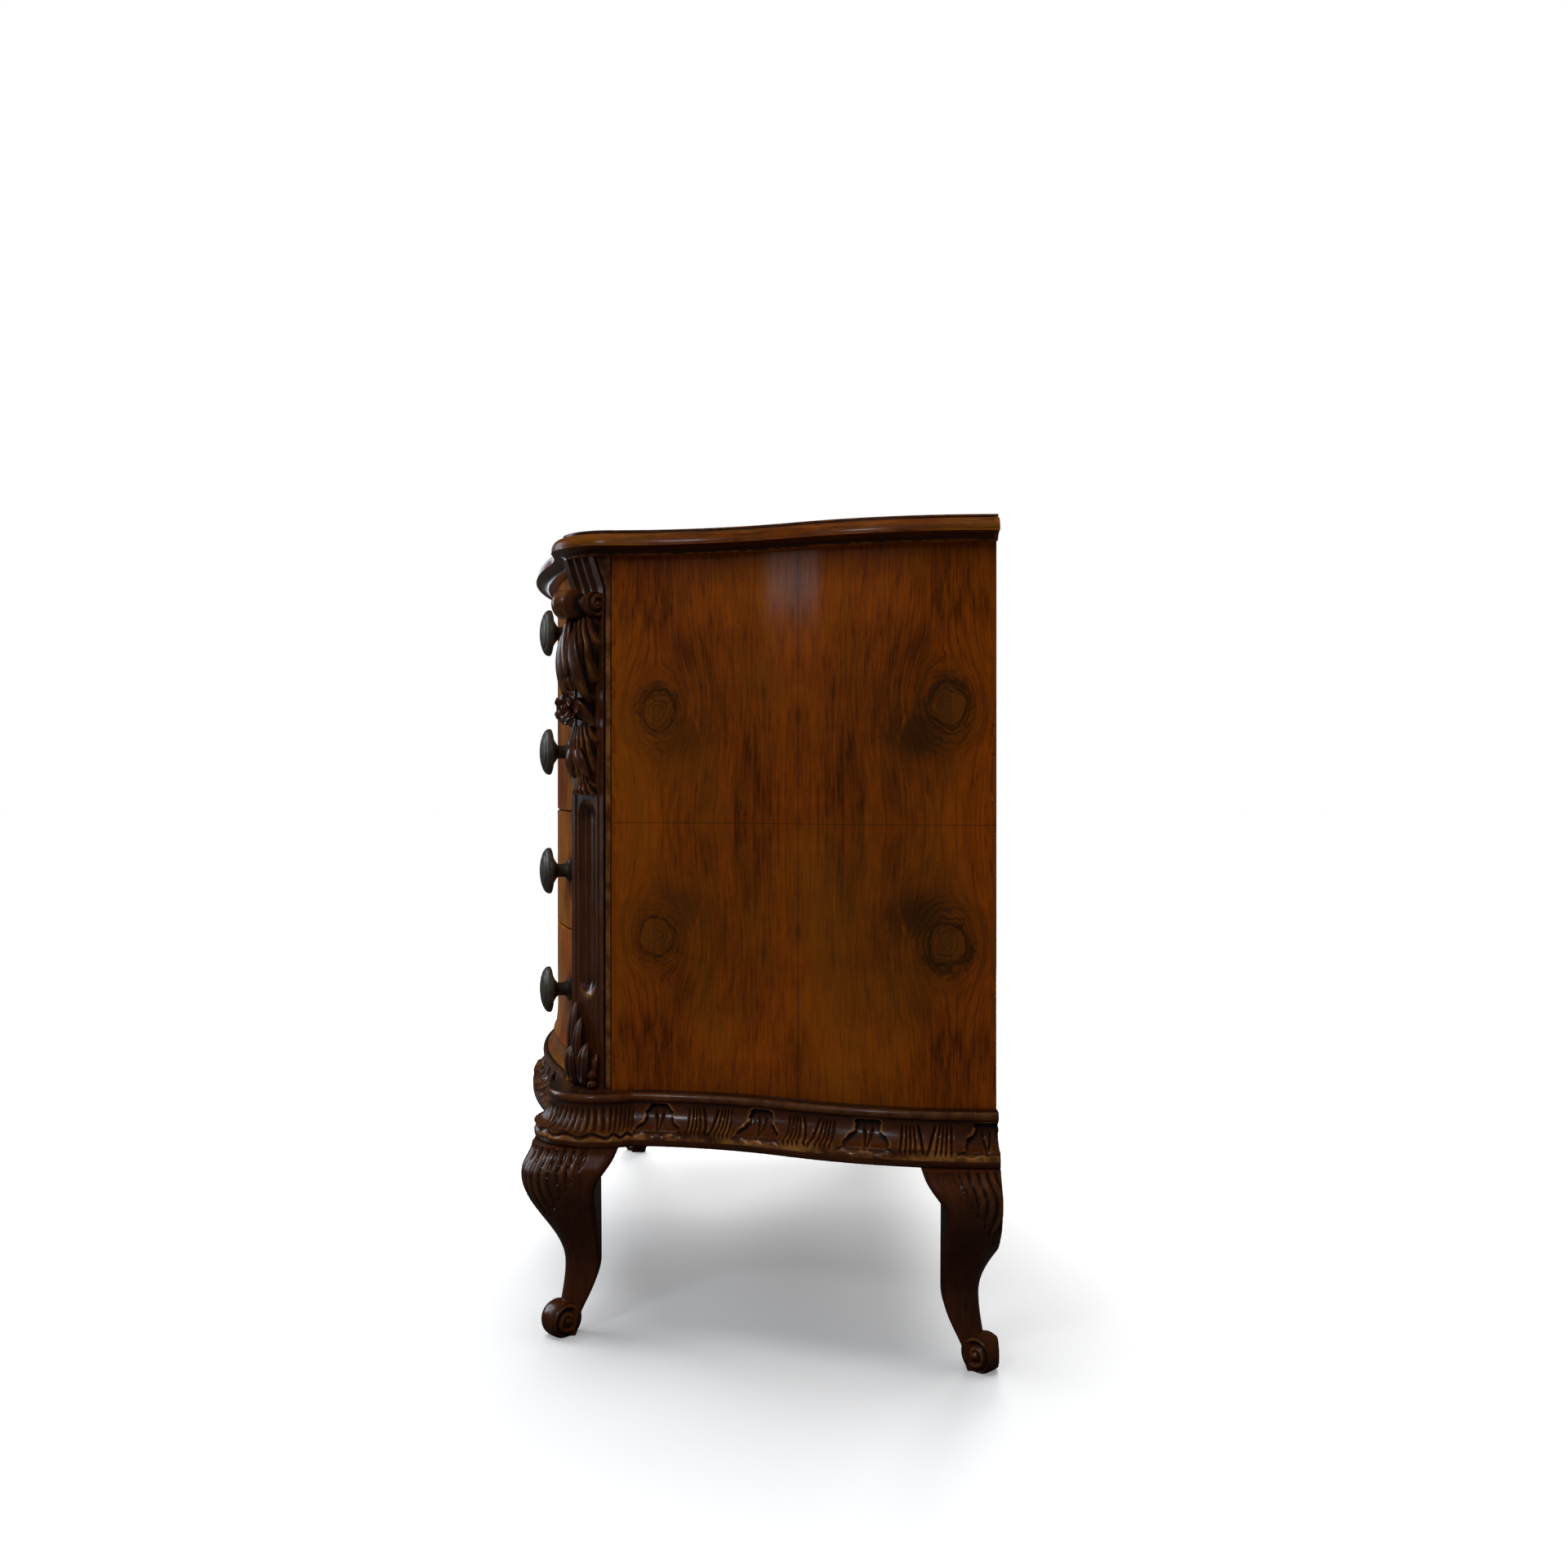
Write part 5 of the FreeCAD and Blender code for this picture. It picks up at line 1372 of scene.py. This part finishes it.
def leaf_drop_patches(context):
    """Right leaf drop: a long fluted leaf, a rose between leaves, and a short leaf with a ruffled bell."""
    top, low = UPPER_LEAF["top"], LOWER_LEAF["top"]
    patches = leaf_body(context, UPPER_LEAF)
    for curl in CURLS:
        patches += placed_finger(context, curl, top) + placed_finger(context, curl, top, -1)
    patches += placed_finger(context, MIDRIB, top) + rosette_patches(context)
    patches += leaf_body(context, LOWER_LEAF)
    patches += placed_finger(context, LOBE, low) + placed_finger(context, LOBE, low, -1)
    return patches + leaf_body(context, BELL)


def base_leaf_patches(context):
    """Right base leaf: blades standing on the base, tallest towards the front, with bosses at the side."""
    patches = []
    for blade in BLADES:
        patches += placed_finger(context, blade, CASE_Z)
    bosses = [ball(context, across, out, CASE_Z + height, radius) for across, out, height, radius in BOSSES]
    return patches + bosses


CORNER_WORK = {
    "fluted pilaster": ("pilaster", pilaster_patches, 30),
    "carved console scroll": ("console_scroll", scroll_patches, 50),
    "carved leaf drop": ("leaf_drop", leaf_drop_patches, 50),
    "carved base leaf": ("base_leaf", base_leaf_patches, 50),
}


def make_corner_work(context):
    """Every kind of corner carving, on both sides."""
    material = finish_of(context, "carved walnut")
    for label, (node, maker, crease) in CORNER_WORK.items():
        make_pair(label, maker(context), material, node, crease)


# Legs

KNEE_RISE, KNEE_CUT = 0.0022, 0.0048


def leg_loop(inner, outer):
    """Square section with one well rounded outward corner, for many heights at once.

    Corners are arcs, in order round the section, and the straight sides between them are blends.
    The result has a row for each height. The middle of the outward corner is also returned.
    """
    inner, outer = inner[:, None], outer[:, None]
    eased_edge, knee_round = 0.1 * (outer - inner), 0.42 * (outer - inner)
    few, many = 7, 45
    corners = (
        (inner, inner, 1, 1, eased_edge, np.pi, few),
        (outer, inner, -1, 1, eased_edge, 1.5 * np.pi, few),
        (outer, outer, -1, -1, knee_round, 0.0, many),
        (inner, outer, 1, -1, eased_edge, 0.5 * np.pi, few),
    )
    arcs = []
    for u, v, to_u, to_v, radius, start, count in corners:
        angle = start + np.linspace(0, np.pi / 2, count)[None, :]
        arc_u = u + to_u * radius + radius * np.cos(angle)
        arc_v = v + to_v * radius + radius * np.sin(angle)
        arcs.append(np.stack([arc_u, arc_v], -1))
    pieces = []
    share = np.linspace(0, 1, 30)[1:-1, None]
    for arc, following in zip(arcs, arcs[1:] + arcs[:1]):
        pieces += [arc, arc[:, -1:] + (following[:, :1] - arc[:, -1:]) * share]
    middle = sum(piece.shape[1] for piece in pieces[:4]) + many // 2
    return closed(np.concatenate(pieces, axis=1)), middle


def knee_relief(around, z, leg):
    """Leaf carved on a knee: strokes side by side, longest at the outward corner.

    Each stroke is a rounded rib between grooves and ends in a round tip, over the distance round
    the section from the corner and the height.
    """
    pitch = 0.0108 + 0.018 * (leg.height - z)
    rib = np.abs(np.cos(np.pi * around / pitch))
    order = np.abs(np.round(around / pitch))
    end = 0.142 + 0.0115 * order + 0.014 * (1 - rib)
    inside = swell(z - end, 0, 0.005) * swell(0.066 - np.abs(around), 0, 0.01)
    return inside * (KNEE_RISE + KNEE_CUT * (rib ** 0.5 - 1))


def toe_patches(leg, place, y_sign):
    """Scrolled toe: a short roll across the leg's outward corner, with a volute at each end."""
    volute_height, volute_turns = 0.0035, 2.1
    axis = np.array([1.0, -y_sign, 0.0]) * HALF_ROOT
    outward = np.array([1.0, y_sign, 0.0]) * HALF_ROOT
    centre = np.array([place[0] + leg.roll_place, place[1] + y_sign * leg.roll_place, leg.roll_height])
    along = np.linspace(-1, 1, 13)[:, None, None]
    angle = np.linspace(0, 2 * np.pi, 73)[None, :, None]
    ring = np.cos(angle) * outward + np.sin(angle) * UP
    radius = leg.roll_radius * (1 - 0.05 * along ** 4)
    patches = [patch(centre + along * leg.roll_half_length * axis + radius * ring)]
    for sign in (-1, 1):
        end = centre + sign * leg.roll_half_length * axis
        size, hand = 0.95 * leg.roll_radius, sign * y_sign
        patches.append(spiral_disc(end, sign * axis, outward, size, volute_height, volute_turns, hand))
    return patches


def leg_patches(context, place, y_sign):
    """Right-hand cabriole leg: sections eased from foot to ankle, knee and bracket, with a scrolled toe.

    It is cut flush with the back of the case, the floor and its own top.
    """
    leg = context.scene.commode_leg
    z = np.linspace(0, leg.height, 141)
    inner_knots = (0, leg.ankle_height, leg.bracket_height, leg.height)
    inner = eased(z, inner_knots, (leg.foot_inset, leg.shin_inset, leg.shin_inset, -leg.bracket_reach))
    outer_knots = (0, leg.ankle_height, leg.knee_height, leg.height)
    outer = eased(z, outer_knots, (leg.foot_size, leg.ankle_size, leg.knee_size, leg.top_size))
    loop, middle = leg_loop(inner, outer)
    steps = np.linalg.norm(np.diff(loop, axis=1), axis=-1)
    around = np.concatenate([np.zeros((len(z), 1)), np.cumsum(steps, axis=1)], axis=1)
    around = around - around[:, middle:middle + 1]
    slope = np.gradient(loop, axis=1)
    normal = np.stack([slope[..., 1], -slope[..., 0]], -1)
    normal /= np.maximum(np.linalg.norm(normal, axis=-1, keepdims=True), 1e-9)
    level = np.broadcast_to(z[:, None], around.shape)
    relief = knee_relief(around, level, leg)
    loop = loop + normal * (relief - KNEE_RISE * (relief > 0))[..., None]
    body = np.stack([place[0] + loop[..., 0], place[1] + y_sign * loop[..., 1], level], -1)
    # Painted shade, partly grime, in the grooves between strokes, and painted highlight, partly wear, on
    # the ribs, held to a limit.
    brightest_wear_and_highlight, cut_depth = -0.18, 0.003
    recess = np.maximum(recess_of(relief, cut_depth), brightest_wear_and_highlight)
    patches = [patch(body, recess), lid(body[0]), lid(body[-1])] + toe_patches(leg, place, y_sign)
    low, high = np.array([-1, -1, 0.0]), np.array([1, REAR_Y, leg.height])
    return [(np.clip(points, low, high), values, veneer) for points, values, veneer in patches]


def make_legs(context):
    """Four carved cabriole legs."""
    plan, leg = context.scene.commode_plan, context.scene.commode_leg
    front_place = (corner_middle(plan) + leg.front_shift, CORNER_Y - leg.front_shift)
    rear_place = (REAR_HALF_WIDTH - leg.rear_inset, REAR_Y - leg.rear_depth)
    material = finish_of(context, "carved walnut")
    for end, place, y_sign in (("front", front_place, -1), ("rear", rear_place, 1)):
        patches = leg_patches(context, place, y_sign)
        make_pair("carved leg " + end, patches, material, "leg_" + end, crease=50)


# Knobs

def knob_profile(knob):
    """Profile of a knob as radius and distance off the drawer, and its recess.

    Rose, stem, conical back and rim, and a dome of a quarter ellipse with two rings cut in it.
    """
    ring_depth, cone_swell = 0.0009, 0.002
    stem, rose = knob.stem_radius, knob.rose_radius
    rim_high = knob.projection - knob.dome
    rim_low = rim_high - knob.rim
    back = rim_low - knob.back
    lower = [(0, 0), (rose, -0.0005), (rose, 0.0018), (rose - 0.002, knob.rose_thickness)]
    lower += [(stem + 0.002, 0.0042), (stem, 0.008)]
    cone = np.linspace((stem, back), (knob.radius, rim_low), 12)
    cone[:, 1] += cone_swell * np.sin(np.linspace(0, np.pi, 12))
    turn = np.linspace(0, np.pi / 2, 30)
    radius = knob.radius * np.cos(turn)
    ring = groove(radius / knob.radius - 0.72, 0.035) + groove(radius / knob.radius - 0.3, 0.03)
    dome = np.stack([radius, rim_high + knob.dome * np.sin(turn) - ring_depth * ring], -1)
    profile = np.concatenate([lower, np.linspace((stem, 0.010), (stem, back), 6), cone[1:], dome])
    return profile, np.concatenate([np.full(len(profile) - len(turn), 0.35), 0.8 * ring - 0.1])


def make_knobs(context):
    """Turned knobs: a profile spun round the normal of the serpentine front, a pair for each drawer."""
    plan, knob = context.scene.commode_plan, context.scene.commode_knob
    points, normals, _ = follow(plan_arcs(plan)["front"], plan.step)
    order = np.argsort(points[:, 0])
    x = corner_middle(plan) - knob.inset
    foot = np.array([x, np.interp(x, points[order, 0], points[order, 1]), 0.0])
    axis = np.array([np.interp(x, points[order, 0], normals[order, 0]), 0.0, 0.0])
    axis[1] = -math.sqrt(1 - axis[0] ** 2)
    profile, recess = knob_profile(knob)
    angle = np.linspace(0, 2 * np.pi, knob.segments + 1)[None, :, None]
    spoke = np.cos(angle) * np.cross(axis, UP) + np.sin(angle) * UP
    material = finish_of(context, "dark bronze")
    for name in DRAWERS:
        low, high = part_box(name + "_front")
        place = foot + UP * (low.z + high.z) / 2
        grid = place + profile[:, None, 1:] * axis + profile[:, None, :1] * spoke
        right = [patch(grid, recess[:, None])]
        pair = right + mirrored(right)
        make_piece(name + " turned knobs", pair, material, name, [name + "_knobs"], crease=35)


# Inner pieces and stage

def finish_inner_pieces(context):
    """Give every CAD node that stays in view its own procedural finish."""
    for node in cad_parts.values():
        if node.hide_render:
            continue
        boards = "inner sides" if "side" in node.name or "guides" in node.name else "inner boards"
        node.data.materials.clear()
        node.data.materials.append(finish_of(context, "old steel" if "screws" in node.name else boards))


def floor_finish(stage):
    """Pale floor that is white to the camera, with lifted shadows, and dim to the light on the commode."""
    settings = {"Roughness": 0.9, "Specular IOR Level": 0.0, "Emission Strength": 1.0}
    material, tree, shader = new_material("pale floor", settings)
    mottle = ramp(noise(object_place(tree), 3, 2), 0.2, 0.8)
    rays = put(tree, "ShaderNodeLightPath").outputs
    seen = Field(rays["Is Camera Ray"])
    white = blend(mottle, (0.92, 0.92, 0.92, 1), (0.94, 0.94, 0.94, 1))
    bounced = blend(Field(rays["Is Diffuse Ray"]), (0.05, 0.048, 0.045, 1), (0.23, 0.20, 0.17, 1))
    lift = solid([stage.shadow_lift] * 3)
    glow = blend(seen, (0, 0, 0, 1), lift)
    wire(shader, {"Base Color": blend(seen, bounced, white), "Emission Color": glow})
    return material


def set_world(stage):
    """White backdrop to the camera, and a dim even light for everything else."""
    world = bpy.data.worlds.new("white studio")
    world.use_nodes = True
    tree = world.node_tree
    tree.nodes.clear()
    seen = Field(put(tree, "ShaderNodeLightPath").outputs["Is Camera Ray"])
    inputs = {0: seen}
    for index, tone, strength in ((1, (0.9, 0.95, 1.0, 1), stage.ambient), (2, (1, 1, 1, 1), 1.0)):
        lit = put(tree, "ShaderNodeBackground", None, {"Color": tone, "Strength": strength})
        inputs[index] = Field(lit.outputs[0])
    mixed = put(tree, "ShaderNodeMixShader", None, inputs)
    put(tree, "ShaderNodeOutputWorld", None, {"Surface": Field(mixed.outputs[0])})
    bpy.context.scene.world = world


def oblong(width, height):
    """Settings of an area light with two lengths."""
    return {"shape": "RECTANGLE", "size": width, "size_y": height}


MIDDLE = (0.0, 0.05, 0.5)
COOL = {"color": (0.82, 0.90, 1.0)}
# Kind, place, aim and settings of each light, in metres. Its power is a stage setting.
LIGHTS = {
    "sky": ("SUN", (-1.0, -0.3, 4.0), (0, 0, 0), {"angle": math.radians(60)}),
    "fill": ("AREA", (2.7, -0.3, 3.6), MIDDLE, {"size": 2.4}),
    "front": ("AREA", (-1.2, -3.2, 2.0), MIDDLE, {"size": 1.4, **COOL}),
    "glint": ("AREA", (-3.8, -1.6, 1.5), MIDDLE, {"size": 1.2, **COOL}),
    "showing": ("AREA", (0.6, -3.4, 1.3), MIDDLE, {"size": 1.0}),
    "pane": ("AREA", (-0.4, -3.0, 1.1), MIDDLE, {**oblong(0.35, 0.9), **COOL}),
    "spark": ("AREA", (2.4, -1.0, 1.9), MIDDLE, {"size": 0.35, **COOL}),
    "low": ("AREA", (-2.8, 0.3, 1.2), (0, 0.1, 0.0), oblong(2.0, 0.5)),
    "window": ("AREA", (2.27, -2.33, 1.32), MIDDLE, {**oblong(0.8, 0.12), **COOL}),
}


def add_light(name, power, kind, location, aim, settings):
    """Light that points from its place to an aim."""
    data = bpy.data.lights.new(name, kind)
    data.energy = power
    for key, value in settings.items():
        setattr(data, key, value)
    light = bpy.data.objects.new(name, data)
    bpy.context.collection.objects.link(light)
    light.location = location
    way = np.array(aim) - np.array(location)
    light.rotation_euler = (math.atan2(math.hypot(way[0], way[1]), -way[2]), 0, math.atan2(-way[0], way[1]))
    return light


def link_light(light, pieces, state):
    """Let a light reach some pieces only, or all but those pieces."""
    linked = bpy.data.collections.new(light.name + " link")
    for piece in pieces:
        linked.objects.link(piece)
    for member in linked.collection_objects:
        member.light_linking.link_state = state
    light.light_linking.receiver_collection = linked


def make_lights(stage, floor):
    """All lights, some of them kept from the polish, from the camera or to a few pieces."""
    lights = {name: add_light(name, getattr(stage, name + "_power"), *LIGHTS[name]) for name in LIGHTS}
    for name in ("sky", "fill"):
        lights[name].visible_glossy = False
    for name in ("glint", "low"):
        lights[name].visible_camera = False
    fronts = [bpy.data.objects[name + "_veneered_front"] for name in DRAWERS]
    link_light(lights["glint"], [bpy.data.objects["polished_top"]], "INCLUDE")
    link_light(lights["showing"], fronts, "INCLUDE")
    link_light(lights["low"], [floor], "INCLUDE")
    for name in ("fill", "pane"):
        link_light(lights[name], [floor], "EXCLUDE")


def make_stage(context):
    """Floor, backdrop, lights and camera."""
    stage = context.scene.commode_stage
    half = stage.floor_size / 2
    corners = [(-half, -half, 0), (half, -half, 0), (half, half, 0), (-half, half, 0)]
    mesh = bpy.data.meshes.new("floor")
    mesh.from_pydata(corners, [], [(0, 1, 2, 3)])
    mesh.materials.append(floor_finish(stage))
    floor = bpy.data.objects.new("floor", mesh)
    context.collection.objects.link(floor)
    set_world(stage)
    make_lights(stage, floor)
    data = bpy.data.cameras.new("camera")
    data.lens, data.sensor_width = stage.lens, stage.sensor
    camera = bpy.data.objects.new("camera", data)
    context.collection.objects.link(camera)
    camera.location = (stage.camera_distance, stage.camera_side, stage.camera_height)
    camera.rotation_euler = (math.pi / 2, 0, math.pi / 2)
    context.scene.camera = camera
    context.scene.view_settings.view_transform = "Standard"


# Add-on

class COMMODE_OT_stage(Operator):
    """Make the floor, the lights and the camera"""
    bl_idname = "commode.stage"
    bl_label = "Stage"

    def execute(self, context):
        make_stage(context)
        return {"FINISHED"}


class COMMODE_OT_top(Operator):
    """Make the moulded top"""
    bl_idname = "commode.top"
    bl_label = "Top"

    def execute(self, context):
        make_top(context)
        return {"FINISHED"}


class COMMODE_OT_side_panels(Operator):
    """Make the veneered sides"""
    bl_idname = "commode.side_panels"
    bl_label = "Side panels"

    def execute(self, context):
        make_side_panels(context)
        return {"FINISHED"}


class COMMODE_OT_drawer_fronts(Operator):
    """Make the serpentine drawer fronts"""
    bl_idname = "commode.drawer_fronts"
    bl_label = "Drawer fronts"

    def execute(self, context):
        make_drawer_fronts(context)
        return {"FINISHED"}


class COMMODE_OT_bottom_rail(Operator):
    """Make the coved rail under the drawers"""
    bl_idname = "commode.bottom_rail"
    bl_label = "Bottom rail"

    def execute(self, context):
        make_bottom_rail(context)
        return {"FINISHED"}


class COMMODE_OT_base(Operator):
    """Make the carved base mouldings"""
    bl_idname = "commode.base"
    bl_label = "Base mouldings"

    def execute(self, context):
        make_base(context)
        return {"FINISHED"}


class COMMODE_OT_corner_work(Operator):
    """Make the pilasters, console scrolls, leaf drops and base leaves"""
    bl_idname = "commode.corner_work"
    bl_label = "Corner carvings"

    def execute(self, context):
        make_corner_work(context)
        return {"FINISHED"}


class COMMODE_OT_legs(Operator):
    """Make the carved legs"""
    bl_idname = "commode.legs"
    bl_label = "Legs"

    def execute(self, context):
        make_legs(context)
        return {"FINISHED"}


class COMMODE_OT_knobs(Operator):
    """Make the turned knobs"""
    bl_idname = "commode.knobs"
    bl_label = "Knobs"

    def execute(self, context):
        make_knobs(context)
        return {"FINISHED"}


class COMMODE_OT_inner_pieces(Operator):
    """Give the inner boards and screws their finish"""
    bl_idname = "commode.inner_pieces"
    bl_label = "Inner pieces"

    def execute(self, context):
        finish_inner_pieces(context)
        return {"FINISHED"}


OPERATORS = (
    COMMODE_OT_top,
    COMMODE_OT_side_panels,
    COMMODE_OT_drawer_fronts,
    COMMODE_OT_bottom_rail,
    COMMODE_OT_base,
    COMMODE_OT_corner_work,
    COMMODE_OT_legs,
    COMMODE_OT_knobs,
    COMMODE_OT_inner_pieces,
    COMMODE_OT_stage,
)


class COMMODE_PT_pieces(Panel):
    """Sizes, colours and makers of the commode"""
    bl_label = "Commode"
    bl_space_type = "VIEW_3D"
    bl_region_type = "UI"
    bl_category = "Commode"

    def draw(self, context):
        layout = self.layout
        for operator in OPERATORS:
            layout.operator(operator.bl_idname)
        for name, group in GROUPS.items():
            box = layout.box()
            for key in group.__annotations__:
                box.prop(getattr(context.scene, name), key)


CLASSES = tuple(GROUPS.values()) + OPERATORS + (COMMODE_PT_pieces,)


def register():
    """Register the classes and hang the property groups on the scene."""
    for cls in CLASSES:
        bpy.utils.register_class(cls)
    for name, group in GROUPS.items():
        setattr(bpy.types.Scene, name, PointerProperty(type=group))


def unregister():
    """Undo register."""
    for name in GROUPS:
        delattr(bpy.types.Scene, name)
    for cls in reversed(CLASSES):
        bpy.utils.unregister_class(cls)


def main():
    """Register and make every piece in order."""
    register()
    for operator in OPERATORS:
        group, name = operator.bl_idname.split(".")
        getattr(getattr(bpy.ops, group), name)()


if __name__ == "__main__":
    main()
